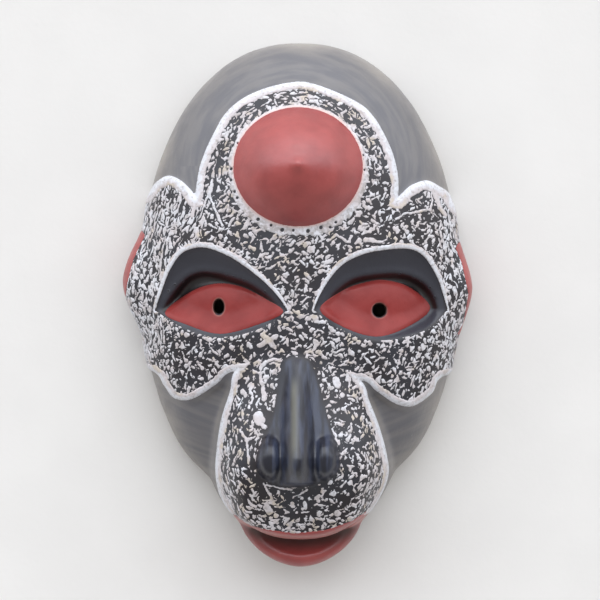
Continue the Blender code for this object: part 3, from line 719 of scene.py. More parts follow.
def area_distance(x, y, outline):
    """Distance in plan to a closed outline, negative inside it."""
    ring = np.concatenate([outline, outline[:1]])
    inside = np.zeros(np.broadcast(x, y).shape, bool)
    for (ax, ay), (bx, by) in zip(ring[:-1], ring[1:]):
        if ay != by:
            inside ^= ((ay > y) != (by > y)) & (x < (bx - ax) * (y - ay) / (by - ay) + ax)
    distance = line_distance(x, y, ring)
    return np.where(inside, -distance, distance)


def oval_share(x, y, centre, radii):
    """How far out of an oval's centre each place is: 0 at the centre and 1 on the oval."""
    return np.sqrt(((x - centre[0]) / radii[0]) ** 2 + ((y - centre[1]) / radii[1]) ** 2)


def sampled(function):
    """The same function of a place in plan, worked out once on a fine grid and read off it."""
    grids = {}
    across = np.arange(-PLAN_HALF_WIDTH, PLAN_HALF_WIDTH, PLAN_STEP)
    along = np.arange(-PLAN_HALF_LENGTH, PLAN_HALF_LENGTH, PLAN_STEP)

    def read(x, y, *eye):
        if eye not in grids:
            grids[eye] = function(across[:, None], along[None, :], *eye)
        grid = grids[eye]
        column = np.clip((x - across[0]) / PLAN_STEP, 0, len(across) - 1.001)
        row = np.clip((y - along[0]) / PLAN_STEP, 0, len(along) - 1.001)
        i = column.astype(int)
        j = row.astype(int)
        u = column - i
        v = row - j
        near = grid[i, j] * (1 - u) + grid[i + 1, j] * u
        far = grid[i, j + 1] * (1 - u) + grid[i + 1, j + 1] * u
        return near * (1 - v) + far * v

    return read


def ball_distance(x, y, z, centre, radii, squareness, fullness):
    """Distance to a ball stretched to three radii, near its surface.

    The squareness shapes its outline in plan and the fullness its height: 2 is an ellipse.
    """
    u = np.abs(x - centre[0]) / radii[0] + TINY
    v = np.abs(y - centre[1]) / radii[1] + TINY
    w = np.abs(z - centre[2]) / radii[2]
    ring = (u ** squareness + v ** squareness) ** (1 / squareness)
    size = (ring ** fullness + w ** fullness) ** (1 / fullness)
    side = (ring / size) ** (fullness - 1)
    slope_x = side * (u / ring) ** (squareness - 1) / radii[0]
    slope_y = side * (v / ring) ** (squareness - 1) / radii[1]
    slope_z = (w / size) ** (fullness - 1) / radii[2]
    return (size - 1.0) / np.sqrt(slope_x ** 2 + slope_y ** 2 + slope_z ** 2)


def head_distance(x, y, z):
    """Distance to the plain egg of the head, which has upright sides up to SIDE_HEIGHT."""
    centre = (0.0, HEAD_MIDDLE_Y, SIDE_HEIGHT)
    radii = (HEAD_WIDTH / 2, HEAD_LENGTH / 2, FACE_HEIGHT - SIDE_HEIGHT)
    squareness = np.where(y > HEAD_MIDDLE_Y, CROWN_SQUARENESS, JAW_SQUARENESS)
    return ball_distance(x, y, np.maximum(z, SIDE_HEIGHT), centre, radii, squareness, DOME_SQUARENESS)


def outline_distance(outline):
    """A function for the distance in plan to a smooth closed outline, negative inside it."""
    return sampled(lambda x, y: area_distance(x, y, curve(outline, closed=True)))


arch_distance = outline_distance(ARCH_OUTLINE)
muzzle_distance = outline_distance(MUZZLE_OUTLINE)
nose_foot_distance = outline_distance(NOSE_OUTLINE)


@sampled
def zone_distance(x, y):
    """Distance in plan to the edge of the painted zone, negative inside it."""
    band = area_distance(x, y, curve(BAND_OUTLINE, closed=True))
    return np.minimum(np.minimum(arch_distance(x, y), band), muzzle_distance(x, y))


def cone_share(x, y):
    return oval_share(x, y, CONE_CENTRE, (CONE_WIDTH / 2, CONE_LENGTH / 2))


def cone_rise(x, y):
    """A full cone with a rounded foot and a small nipple at its tip."""
    out = cone_share(x, y)
    dome = np.maximum(1.0 - out ** CONE_FULLNESS, 0.0) ** CONE_FOOT
    flank = np.maximum(1.0 - out, 0.0)
    nipple = np.exp(-(out / CONE_NIPPLE_REACH) ** 2) * (out < 1.0)
    dome_share, flank_share, nipple_share = CONE_SHARES
    return CONE_HEIGHT * (dome_share * dome + flank_share * flank + nipple_share * nipple)


def area_above(edge, under):
    """Outline of the area between an edge over the eye and the line under the eye."""
    top = curve(edge, closed=False)
    bottom = curve((edge[-1],) + under + (edge[0],), closed=False)
    return np.concatenate([top, bottom[1:-1]])


@sampled
def socket_distance(x, y, eye):
    return area_distance(x, y, area_above(eye.brow, eye.under))


@sampled
def brow_distance(x, y, eye):
    """Distance to the brow line, negative on the eye's side of it."""
    away = line_distance(x, y, curve(eye.brow, closed=False))
    return np.where(socket_distance(x, y, eye) < 0, -away, away)


@sampled
def almond_distance(x, y, eye):
    return area_distance(x, y, curve(eye.almond, closed=True))


def ball_share(x, y, eye):
    """How far the eyeball stands out at each place, from 0 round its edge to 1 in its middle."""
    almond = np.array(eye.almond)
    low = almond.min(axis=0)
    high = almond.max(axis=0)
    out = oval_share(x, y, (low + high) / 2, (high - low) / 2)
    return np.sqrt(np.maximum(1.0 - out ** 2, 0.0))


@sampled
def lid_distance(x, y, eye):
    return area_distance(x, y, area_above(eye.lid, eye.under))


@sampled
def socket_depth(x, y, eye):
    """Depth of the sloping lid, the step under its edge and the eyeball bulging out of it."""
    lid = lid_distance(x, y, eye)
    upper = curve(eye.brow, closed=False)
    lower = curve((eye.brow[-1],) + eye.under + (eye.brow[0],), closed=False)
    depth = LID_DEPTH * levelling(line_distance(x, y, upper), LID_SLOPE)
    depth = depth - LID_RIM_HEIGHT * np.exp(-((lid - LID_RIM_WIDTH) / LID_RIM_WIDTH) ** 2)
    depth = depth + UNDER_LID_DEPTH * inward(lid, UNDER_LID_SLOPE)
    depth = LID_EDGE_STEP + depth * levelling(line_distance(x, y, lower), LID_SLOPE)
    bulge = inward(almond_distance(x, y, eye), EYEBALL_SLOPE)
    depth = depth - EYEBALL_BULGE * ball_share(x, y, eye) * bulge
    return depth * inward(socket_distance(x, y, eye), SOCKET_SLOPE)


def nose_ridge(x, y):
    """The long ridge of the nose, which widens and rises from its root to its tip."""
    along = np.clip((NOSE_ROOT_Y - y) / (NOSE_ROOT_Y - NOSE_TIP_Y), 0.0, 1.0)
    past_tip = np.clip((NOSE_TIP_Y - y) / (NOSE_TIP_Y - NOSE_BASE_Y), 0.0, 1.0)
    height = NOSE_HEIGHT * along * (1.0 - NOSE_TIP_DROP * past_tip ** 2)
    half_width = NOSE_ROOT_HALF_WIDTH + (NOSE_TIP_HALF_WIDTH - NOSE_ROOT_HALF_WIDTH) * along
    out = np.minimum(np.abs(x - NOSE_X) / half_width, 1.0)
    flank = (1.0 - out ** NOSE_FULLNESS) ** NOSE_FLANK
    start = NOSE_ROOT_HEIGHT * inward(y - NOSE_ROOT_Y, NOSE_ROOT_SLOPE)
    return (height + start) * flank


def nose_wing(x, y, side):
    """A rounded wing beside the tip of the nose, with a flat facet cut from its top to its base."""
    out = oval_share(x, y, (NOSE_X + side * NOSE_WING_REACH, NOSE_WING_Y), NOSE_WING_RADII)
    wing = NOSE_WING_HEIGHT * np.maximum(1.0 - out ** NOSE_WING_FULLNESS, 0.0) ** NOSE_WING_FLANK
    facet = NOSE_FACET_SHARE * NOSE_WING_HEIGHT - NOSE_FACET_FALL * (NOSE_WING_Y - y)
    return smooth_min(wing, facet, NOSE_BLEND / 2)


@sampled
def nose_rise(x, y):
    """The ridge and its two wings on their broad foot, cut off by the underside of the nose."""
    nose = nose_ridge(x, y)
    for side in (-1, 1):
        nose = smooth_max(nose, nose_wing(x, y, side), NOSE_BLEND / 2)
    nose = np.maximum(nose - NOSE_BLEND / 8, 0.0)
    underside = NOSE_BASE_Y + NOSE_BASE_ARCH * (x - NOSE_X) ** 2
    nose = nose * inward(underside - y - NOSE_BASE_SLOPE, NOSE_BASE_SLOPE)
    foot = inward(nose_foot_distance(x, y), NOSE_FOOT_SLOPE)
    return smooth_max(nose, NOSE_FOOT_HEIGHT * foot, NOSE_BLEND) - NOSE_BLEND / 4


def muzzle_rise(x, y, z):
    """The muzzle swells from the eyes down to the lips and tucks in toward the back rim."""
    swell = smooth_step(MUZZLE_START_Y, MUZZLE_FULL_Y, y) * smooth_step(0.0, CHIN_TUCK_HEIGHT, z)
    at_lip = smooth_step(MUZZLE_FULL_Y, LIP_EDGE_Y, y)
    shoulder = MUZZLE_SHOULDER + (LIP_SHOULDER - MUZZLE_SHOULDER) * at_lip
    return MUZZLE_HEIGHT * swell * inward(muzzle_distance(x, y), shoulder) ** MUZZLE_FLANK


def cheek_depth(x, y):
    """Depth of the smooth cheeks beside the muzzle, deepest next to it."""
    beside = np.exp(-(np.maximum(muzzle_distance(x, y), 0.0) / CHEEK_REACH) ** 2)
    below_band = inward(-zone_distance(x, y), 4 * ZONE_SLOPE)
    return CHEEK_HOLLOW * beside * below_band * smooth_step(CHEEK_START_Y, CHEEK_FULL_Y, y)


def ear_distance(x, y, z, ear):
    centre = (ear.side * (HEAD_WIDTH / 2 + ear.reach - EAR_WIDTH), ear.y, EAR_HEIGHT)
    radii = (EAR_WIDTH, ear.radius, EAR_THICKNESS)
    return ball_distance(x, y, z, centre, radii, EAR_SQUARENESS, 2.0)


def front_distance(x, y, z):
    """Distance to the carved front of the mask, before the back is hollowed."""
    rise = ZONE_STEP * inward(zone_distance(x, y), ZONE_SLOPE)
    rise = rise + WAVE_DEPTH * noise(x, y, 0.0, WAVE_LENGTH, 1)
    rise = rise + WAVE_DEPTH / 3 * noise(x, y, 0.0, WAVE_LENGTH / 3, 2)
    rise = rise + cone_rise(x, y) + nose_rise(x, y) - cheek_depth(x, y)
    for eye in EYES:
        rise = rise - socket_depth(x, y, eye)
    front = head_distance(x, y, z) - rise - muzzle_rise(x, y, z)
    for ear in EARS:
        front = smooth_min(front, ear_distance(x, y, z, ear), EAR_BLEND)
    lip = ball_distance(x, y, z, LIP_CENTRE, LIP_RADII, LIP_SQUARENESS, LIP_FULLNESS)
    mouth = ball_distance(x, y, z, MOUTH_CENTRE, MOUTH_RADII, LIP_SQUARENESS, 2.0)
    mouth = smooth_max(mouth, z - MOUTH_ROOF, MOUTH_BLEND)
    return smooth_max(smooth_min(front, lip, LIP_BLEND), -mouth, MOUTH_BLEND)


def gouge_cuts(x, y):
    """Depth of the long scooped cuts, side by side, that a gouge leaves in the hollow."""
    across = (x + GOUGE_WANDER * noise(x, y, 0.0, GOUGE_WANDER_LENGTH, 3)) / GOUGE_WIDTH
    row = np.floor(across)
    shift = GOUGE_SHIFT * noise(x, y, 0.0, GOUGE_SHIFT_LENGTH, 4)
    along = y / GOUGE_LENGTH + GOUGE_STAGGER * row + shift
    scoop = 1 - (2 * (across - row) - 1) ** 2
    done = along - np.floor(along)
    gain = GOUGE_GAIN * smooth_step(0.0, GOUGE_ENTRY, done) * (1 - GOUGE_LIFT * done)
    return GOUGE_DEPTH * scoop * (GOUGE_LEAST + gain)


def peephole_distance(x, y, eye):
    """Distance in plan to an eye's peephole, negative inside it."""
    radii = [PEEPHOLE_DIAMETER / 2 * share for share in eye.peephole_oval]
    return (oval_share(x, y, eye.peephole, radii) - 1) * min(radii)


def mask_distance(x, y, z):
    """Distance to the whole mask, negative in the wood, flat at the back rim."""
    front = front_distance(x, y, z)
    hollow = head_distance(x, y, z) + WALL - gouge_cuts(x, y)
    hollow = smooth_max(hollow, front + LEAST_WALL, HOLLOW_BLEND)
    wood = np.maximum(np.maximum(front, -hollow), -z)
    for eye in EYES:
        wood = np.maximum(wood, -peephole_distance(x, y, eye))
    return wood


def grid_axes():
    """Sample positions along each axis, around the whole mask."""
    spare = GRID_SPARE_STEPS * GRID_STEP
    half_width = HEAD_WIDTH / 2 + max(ear.reach for ear in EARS) + spare
    half_length = HEAD_LENGTH / 2 + HEAD_MIDDLE_Y + spare
    height = FACE_HEIGHT + CONE_HEIGHT + GRID_ABOVE
    x = np.arange(-half_width, half_width, GRID_STEP)
    y = np.arange(-half_length, half_length, GRID_STEP)
    z = np.arange(-GRID_BELOW, height, GRID_STEP)
    return x, y, z


def softened(field):
    """The field averaged with its neighbours, so that no crease is finer than the grid can hold."""
    for axis in range(3):
        near = np.roll(field, 1, axis)
        far = np.roll(field, -1, axis)
        field = (near + 2 * field + far) / 4
    return field


def joined(field):
    """The field with wood added wherever two bits of wood would touch only along an edge."""
    wood = field < 0
    amount = 0
    while wood.sum() > amount:
        amount = wood.sum()
        for first, second in ((0, 1), (1, 2), (2, 0)):
            beside = np.roll(wood, -1, first)
            above = np.roll(wood, -1, second)
            across = np.roll(beside, -1, second)
            touching = (wood == across) & (beside == above) & (wood != beside)
            touching |= np.roll(touching, 1, first)
            wood |= touching | np.roll(touching, 1, second)
    return np.where(wood, np.minimum(field, -GRID_STEP / 10), field)


def surface_points(field, cells, axes):
    """One point in each cell that the surface crosses: the mean of where it crosses its edges."""
    total = np.zeros((len(cells), 3))
    crossings = np.zeros(len(cells))
    for corner in np.ndindex(2, 2, 2):
        for axis in range(3):
            if corner[axis] == 1:
                continue
            far_corner = np.array(corner)
            far_corner[axis] = 1
            near = field[tuple((cells + corner).T)]
            far = field[tuple((cells + far_corner).T)]
            crossed = (near < 0) != (far < 0)
            place = np.tile(np.array(corner, float), (crossed.sum(), 1))
            place[:, axis] = near[crossed] / (near[crossed] - far[crossed])
            total[crossed] += place
            crossings[crossed] += 1
    origin = np.array([values[0] for values in axes])
    return origin + GRID_STEP * (cells + total / crossings[:, None])


def surface_quads(inside, number):
    """A quad across each grid edge that leaves the solid, joining the four cells around it."""
    quads = []
    for axis in range(3):
        first = (axis + 1) % 3
        second = (axis + 2) % 3
        near = np.moveaxis(np.moveaxis(inside, axis, 0)[:-1], 0, axis)
        far = np.moveaxis(np.moveaxis(inside, axis, 0)[1:], 0, axis)
        edges = np.argwhere(near != far)
        leaves = near[tuple(edges.T)]
        ring = []
        for back_first, back_second in ((1, 1), (0, 1), (0, 0), (1, 0)):
            cell = edges.copy()
            cell[:, first] -= back_first
            cell[:, second] -= back_second
            ring.append(number[tuple(cell.T)])
        ring = np.stack(ring, axis=1)
        ring[~leaves] = ring[~leaves][:, ::-1]
        quads.append(ring)
    return np.concatenate(quads)


def traced_surface(distance):
    """Points and quads of the surface where a distance function is zero."""
    axes = grid_axes()
    x, y, z = np.meshgrid(*axes, indexing="ij", sparse=True)
    field = joined(softened(distance(x, y, z)))
    inside = field < 0
    corners_inside = np.zeros([size - 1 for size in inside.shape], int)
    for i, j, k in np.ndindex(2, 2, 2):
        corners_inside += inside[i:i - 1 or None, j:j - 1 or None, k:k - 1 or None]
    crossed = (corners_inside > 0) & (corners_inside < 8)
    cells = np.argwhere(crossed)
    number = np.full(crossed.shape, -1)
    number[crossed] = np.arange(len(cells))
    return surface_points(field, cells, axes), surface_quads(inside, number)


def linked(name, data):
    """An object with this data, in the scene."""
    thing = bpy.data.objects.new(name, data)
    bpy.context.scene.collection.objects.link(thing)
    return thing


def new_object(name, points, faces, material, attributes=()):
    """An object from arrays of points and faces, with a value for each point in each attribute."""
    mesh = bpy.data.meshes.new(name)
    sides = faces.shape[1]
    mesh.vertices.add(len(points))
    mesh.vertices.foreach_set("co", np.ascontiguousarray(points, np.float32).ravel())
    mesh.loops.add(faces.size)
    mesh.loops.foreach_set("vertex_index", np.ascontiguousarray(faces, np.int32).ravel())
    mesh.polygons.add(len(faces))
    mesh.polygons.foreach_set("loop_start", np.arange(0, faces.size, sides, dtype=np.int32))
    mesh.update(calc_edges=True)
    mesh.validate()
    mesh.shade_smooth()
    mesh.materials.append(material)
    for title, values in attributes:
        layer = mesh.attributes.new(title, "FLOAT", "POINT")
        layer.data.foreach_set("value", np.ascontiguousarray(values, np.float32))
    return linked(name, mesh)


Surface = namedtuple("Surface", "points normals triangles")


def read(items, title, width, kind):
    """An array of one property of a mesh's points or corners."""
    values = np.empty(width * len(items), kind)
    items.foreach_get(title, values)
    return values.reshape(-1, width)


def finer_surface(points, quads):
    """A surface with each of its quads smoothly split into four. Its old points come first."""
    coarse = new_object("coarse", points, quads, None)
    split = coarse.modifiers.new("split", "SUBSURF")
    split.levels = 1
    split.render_levels = 1
    fine = coarse.evaluated_get(bpy.context.evaluated_depsgraph_get()).to_mesh()
    places = read(fine.vertices, "co", 3, np.float32).astype(float)
    normals = read(fine.vertex_normals, "vector", 3, np.float32).astype(float)
    a, b, c, d = read(fine.loops, "vertex_index", 1, np.int32).reshape(-1, 4).T
    triangles = np.concatenate([np.stack([a, b, c], axis=1), np.stack([a, c, d], axis=1)])
    mesh = coarse.data
    bpy.data.objects.remove(coarse)
    bpy.data.meshes.remove(mesh)
    return Surface(places, normals, triangles)


def cut_where_zero(surface, amount):
    """The parts of a surface where an amount is positive, cut along the line where it is zero.

    Each new point lies between two old points: gives those, the share of the second, and the
    triangles between the new points.
    """
    inside = amount > 0
    count = inside[surface.triangles].sum(axis=1)
    whole = surface.triangles[count == 3]
    ends = [np.stack([whole, whole], axis=2)]
    for wanted, kept in ((1, True), (2, False)):
        some = surface.triangles[count == wanted]
        first = np.argmax(inside[some] == kept, axis=1)
        rows = np.arange(len(some))
        a, b, c = (some[rows, (first + k) % 3] for k in range(3))
        if kept:
            corners = ((a, a), (a, b), (a, c))
            ends.append(np.stack([np.stack(pair, axis=1) for pair in corners], axis=1))
        else:
            for corners in (((a, b), (b, b), (c, c)), ((a, b), (c, c), (a, c))):
                ends.append(np.stack([np.stack(pair, axis=1) for pair in corners], axis=1))
    ends = np.sort(np.concatenate(ends), axis=2)
    keys = ends[..., 0].astype(np.int64) * len(amount) + ends[..., 1]
    unique, triangles = np.unique(keys, return_inverse=True)
    first = unique // len(amount)
    second = unique % len(amount)
    fall = amount[first] - amount[second]
    share = np.clip(amount[first] / np.where(fall == 0, 1.0, fall), CUT_MARGIN, 1 - CUT_MARGIN)
    share = np.where(first == second, 0.0, share)
    return first, second, share, triangles.reshape(-1, 3)


def skin(name, surface, amount, height, bevel, material, attributes=()):
    """A thin layer on a surface where the amount is positive, with its edge sunk in the wood.

    The amount is the distance in from the layer's edge, and the layer has its full height
    where that is as much as the bevel.
    """
    amount = np.minimum(amount, surface.points[:, 2] - SKIN_LOWEST)
    first, second, share, triangles = cut_where_zero(surface, amount)

    def between(values):
        part = share if values.ndim == 1 else share[:, None]
        return values[first] * (1 - part) + values[second] * part

    on_edge = first != second
    depth_in = np.where(on_edge, 0.0, between(amount))
    rounded = smooth_step(0.0, 1.0, 0.5 + 0.5 * depth_in / bevel)
    rise = -SKIN_SINK + (SKIN_SINK + between(height)) * rounded
    rise = np.where(on_edge, -SKIN_SINK, rise)
    points = between(surface.points) + between(surface.normals) * rise[:, None]
    values = [(title, between(numbers)) for title, numbers in attributes]
    return new_object(name, points, triangles, material, values)


def part_of(surface, chosen):
    """The chosen triangles of a surface, and the numbers of the points that they use."""
    used, triangles = np.unique(surface.triangles[chosen], return_inverse=True)
    return Surface(surface.points[used], surface.normals[used], triangles.reshape(-1, 3)), used


def thin(piece, triangles):
    """Leaves the object with about this many triangles, and fewest where it is flattest."""
    thinner = piece.modifiers.new("thinner", "DECIMATE")
    thinner.ratio = triangles / (2 * len(piece.data.polygons))
    shape = piece.evaluated_get(bpy.context.evaluated_depsgraph_get())
    mesh = bpy.data.meshes.new_from_object(shape)
    piece.modifiers.clear()
    piece.data = mesh


class Brushwork:
    """Strokes laid on a surface, and how far each of its points is from the nearest one."""

    def __init__(self, surface):
        self.surface = surface
        x, y, z = surface.points.T
        self.places = surface.points.copy()
        for axis in (0, 1):
            self.places[:, axis] += WOBBLE * noise(x, y, z, WOBBLE_LENGTH, 20 + axis)
            self.places[:, axis] += WOBBLE / 2 * noise(x, y, z, WOBBLE_LENGTH / 2.5, 22 + axis)
        self.distance = np.full(len(surface.points), FAR)
        self.random = np.random.default_rng(SEED)
        self.tree = KDTree(len(surface.points))
        self.plan = KDTree(len(surface.points))
        for number, place in enumerate(self.places):
            self.tree.insert(place, number)
            self.plan.insert((place[0], place[1], 0.0), number)
        self.tree.balance()
        self.plan.balance()

    def track(self, start, angle, length, bend):
        """Points on the surface along a stroke that sets out at this angle in plan and bends."""
        steps = max(int(round(length / STROKE_STEP)), 1)
        up = self.surface.normals[start]
        heading = np.array([np.cos(angle), np.sin(angle), 0.0])
        heading -= up * heading.dot(up)
        heading /= np.linalg.norm(heading)
        side = np.cross(up, heading)
        numbers = [start]
        for step in range(steps):
            turn = bend * (step + 0.5) / steps
            move = length / steps * (heading * np.cos(turn) + side * np.sin(turn))
            numbers.append(self.tree.find(self.places[numbers[-1]] + move)[1])
        return np.array(numbers)

    def lay(self, numbers, radii):
        """Lays a stroke through the numbered points, as wide as the radii say."""
        places = self.places[numbers]
        middle = places.mean(axis=0)
        reach = np.linalg.norm(places - middle, axis=1).max() + max(radii) + STROKE_CLEAR
        near = np.array([number for _, number, _ in self.tree.find_range(middle, reach)])
        points = self.places[near]
        nearest = np.full(len(near), FAR)
        for a, b, first, last in zip(places[:-1], places[1:], radii[:-1], radii[1:]):
            along = b - a
            share = np.clip((points - a) @ along / (along @ along + TINY ** 2), 0.0, 1.0)
            gap = np.linalg.norm(points - a - share[:, None] * along, axis=1)
            nearest = np.minimum(nearest, gap - first - share * (last - first))
        self.distance[near] = smooth_min(self.distance[near], nearest, STROKE_BLEND)

    def skip_draw(self):
        """One random draw that has no use, but keeps the strokes after it in their places."""
        self.random.random()

    def uneven(self, count, taper):
        """Widths along a stroke that thins toward its ends, with a blob somewhere along it."""
        draw = self.random
        along = np.linspace(-1.0, 1.0, count) if count > 1 else np.zeros(1)
        widths = 1.0 - draw.uniform(*THINNING) * taper * np.abs(along) ** 1.5
        bulge = draw.uniform(*BULGE)
        widths = widths + bulge * np.exp(-((along - draw.uniform(-1.0, 1.0)) / BULGE_LENGTH) ** 2)
        return widths * draw.uniform(*SHAKE, count)

    def stroke(self, start, angle, skipped=0):
        """Lays one loose stroke if there is room for it past its first skipped points."""
        draw = self.random
        length = draw.uniform(*STROKE_LENGTH)
        radius = draw.uniform(*STROKE_WIDTH) / 2
        numbers = self.track(start, angle, length, draw.normal(0.0, STROKE_BEND))
        radii = radius * self.uneven(len(numbers), STROKE_TAPER)
        left_out = 2 if draw.random() < STROKE_JOINS and len(numbers) > 3 else 0
        tested = slice(skipped, len(numbers) - left_out)
        if not np.all(self.distance[numbers[tested]] - radii[tested] > STROKE_GAP):
            return []
        self.lay(numbers, radii)
        self.skip_draw()
        return numbers

    def fill(self, where):
        """Loose strokes wherever there is room among the given points, in random order."""
        draw = self.random
        for start in draw.permutation(np.flatnonzero(where)):
            crowded = self.distance[start] < STROKE_GAP + STROKE_WIDTH[0] / 2
            if crowded or draw.random() > STROKE_TRIES:
                continue
            angle = draw.uniform(0.0, 2 * np.pi)
            numbers = self.stroke(start, angle)
            if len(numbers) > 2 and draw.random() < STROKE_FORKS:
                turn = draw.choice([-1, 1]) * draw.uniform(*FORK_TURN)
                self.stroke(numbers[len(numbers) // 2], angle + turn, FORK_START)

    def mark(self, places, widths):
        """Lays one stroke whose places in plan are given."""
        numbers = []
        for (ax, ay), (bx, by) in zip(places[:-1], places[1:]):
            steps = max(int(np.hypot(bx - ax, by - ay) / STROKE_STEP), 1)
            for share in np.arange(steps + 1) / steps:
                x = ax + share * (bx - ax)
                y = ay + share * (by - ay)
                numbers.append(self.plan.find((x, y, 0.0))[1])
        radii = np.linspace(widths[0] / 2, widths[1] / 2, len(numbers))
        self.lay(np.array(numbers), radii)

    def beads(self, row, widths):
        """Lays thick blobs close together along a row."""
        draw = self.random
        for x, y in even_places(row, BEAD_STEP):
            x += draw.normal(0.0, BEAD_STEP / 6)
            y += draw.normal(0.0, BEAD_STEP / 6)
            start = self.plan.find((x, y, 0.0))[1]
            angle = draw.uniform(0.0, 2 * np.pi)
            numbers = self.track(start, angle, draw.uniform(*BEAD_LENGTH), 0.0)
            radii = draw.uniform(*widths) / 2 * self.uneven(len(numbers), BEAD_TAPER)
            self.lay(numbers, radii)
            self.skip_draw()


def varied(points, variation):
    """A value at each point that strays from its usual level."""
    x, y, z = points.T
    return variation.level + variation.change * noise(x, y, z, variation.length, variation.seed)


def ragged(points, edge):
    """How far a ragged edge strays at each point."""
    x, y, z = points.T
    return edge.height * (noise(x, y, z, edge.coarse, edge.seed) + noise(x, y, z, edge.fine, edge.seed + 1))


def ring_outer_share(x, y):
    return oval_share(x, y, RING_CENTRE, RING_RADII)


def red_ear_amount(x, y, z):
    """How far inside the red rim of an ear each place is."""
    amount = np.full(x.shape, -FAR)
    for ear in EARS:
        along, inner = np.array(RED_EAR_EDGES[ear.side]).T
        out = ear.side * x - np.interp(y, along, inner)
        amount = np.maximum(amount, np.minimum(out, RED_EAR_DEPTH - ear_distance(x, y, z, ear)))
    return amount


def lip_amount(x, y, z):
    """How far inside the red of the lips and the mouth each place is."""
    return np.minimum(-area_distance(x, y, np.array(LIP_OUTLINE)), z - LIP_LOWEST)


def creaminess(out, rough, start, full, unevenness):
    """How creamy a line is at a place this many of its half widths out."""
    return smooth_step(start, full, out + unevenness * rough / LINE_EDGE.height)


def zone_line(x, y, rough):
    """How far inside the line along the zone's edge each place is, and how creamy it is there."""
    inside = -zone_distance(x, y)
    half = np.where(y > 0, LOBE_LINE, CHEEK_LINE)
    half = np.where(-muzzle_distance(x, y) >= inside - TINY, MUZZLE_LINE, half)
    half = np.where(-arch_distance(x, y) >= inside - TINY, ARCH_LINE, half)
    amount = np.minimum(inside + LINE_LAP, 2 * half - inside + rough)
    return np.minimum(amount, y - LINE_END_Y), creaminess(inside / half, rough, *ZONE_CREAM)


def brow_line(x, y, rough, eye):
    """The same for the line over an eye, which is rough and creamy along its outer side."""
    ends = curve(eye.brow, closed=False)[[0, -1]]
    near_end = np.minimum(*(np.hypot(x - end[0], y - end[1]) for end in ends))
    half = BROW_LINE * (BROW_LOW_SHARE + BROW_HIGH_GAIN * smooth_step(0.0, BROW_HIGH_Y, y))
    half = half * (BROW_END_SHARE + (1 - BROW_END_SHARE) * smooth_step(0.0, BROW_END_LENGTH, near_end))
    out = brow_distance(x, y, eye) - BROW_SHIFT
    amount = half - np.abs(out) + rough * smooth_step(-half, half, out)
    return amount, creaminess(out / half, rough, *BROW_CREAM)


def line_amounts(points):
    """How far inside the white lines each point is, and how creamy they are there."""
    x, y, _ = points.T
    rough = ragged(points, LINE_EDGE)
    amount, cream = zone_line(x, y, rough)
    for eye in EYES:
        brow, brow_cream = brow_line(x, y, rough, eye)
        cream = np.where(brow > amount, brow_cream, cream)
        amount = np.maximum(amount, brow)
    for tail in TAILS:
        amount = np.maximum(amount, TAIL_HALF_WIDTH - line_distance(x, y, np.array(tail)) + 0.5 * rough)
    return amount, cream


def dab_room(x, y, z):
    """How far inside the area that the white dabs may cover each place is."""
    room = -zone_distance(x, y) - DAB_ZONE_GAP
    for eye in EYES:
        room = np.minimum(room, socket_distance(x, y, eye) - DAB_SOCKET_GAP)
    room = np.minimum(room, (ring_outer_share(x, y) - 1) * RING_RADII[1] + DAB_RING_LAP)
    room = np.minimum(room, nose_foot_distance(x, y))
    room = np.minimum(room, -red_ear_amount(x, y, z))
    return np.minimum(room, -lip_amount(x, y, z) + DAB_LIP_LAP)


def grain_places(points, grain):
    """Places turned to lie along a grain and shortened in its direction."""
    x, y, z = points.T
    if grain.follows_ring:
        across = np.hypot(x - CONE_CENTRE[0], y - CONE_CENTRE[1])
        along = CONE_LENGTH * np.arctan2(y - CONE_CENTRE[1], x - CONE_CENTRE[0])
    else:
        across = y * np.cos(grain.angle) - x * np.sin(grain.angle)
        along = x * np.cos(grain.angle) + y * np.sin(grain.angle)
    return across, along / grain.stretch, z


def blots(points, grain):
    """How far inside the white blots each place is."""
    across, along, up = grain_places(points, grain)
    size = grain.size
    across = across + BLOT_WARP * size * noise(across, along, up, 2 * size, 35)
    along = along + BLOT_WARP * size * noise(across, along, up, 2 * size, 36)
    waves = noise(across, along, up, size, 33) + 0.5 * noise(across, along, up, size / 2, 34)
    waves = waves + BLOT_COVER * noise(across, along, up, 4 * size, 37)
    return BLOT_EDGE * size * (waves - grain.level)


def blot_amount(points, room):
    """How far inside the white blots each point is, in the grain of the part of the zone it is in."""
    x, y, _ = points.T
    amount = np.full(len(points), -FAR)
    for grain in GRAINS:
        inside = oval_share(x, y, grain.centre, grain.radii) < 1
        here = inside & (room > -DAB_BEVEL) & (amount == -FAR)
        amount[here] = blots(points[here], grain)
    return amount


def laid_strokes(front, room):
    """The distance of each point from the marks, the beads and the loose strokes between them."""
    work = Brushwork(front)
    for places, widths in MARKS:
        work.mark(places, widths)
    for row, widths in BEAD_ROWS:
        work.beads(row, widths)
    work.fill(room > STROKE_ROOM)
    return work.distance


def dab_tint(points):
    x = points[:, 0]
    middle = DAB_MIDDLE_TINT * smooth_step(*DAB_MIDDLE_REACH, np.abs(x))
    return np.clip(varied(points, DAB_TINT) + middle + varied(points, DAB_TINT_FINE), 0.0, 1.0)


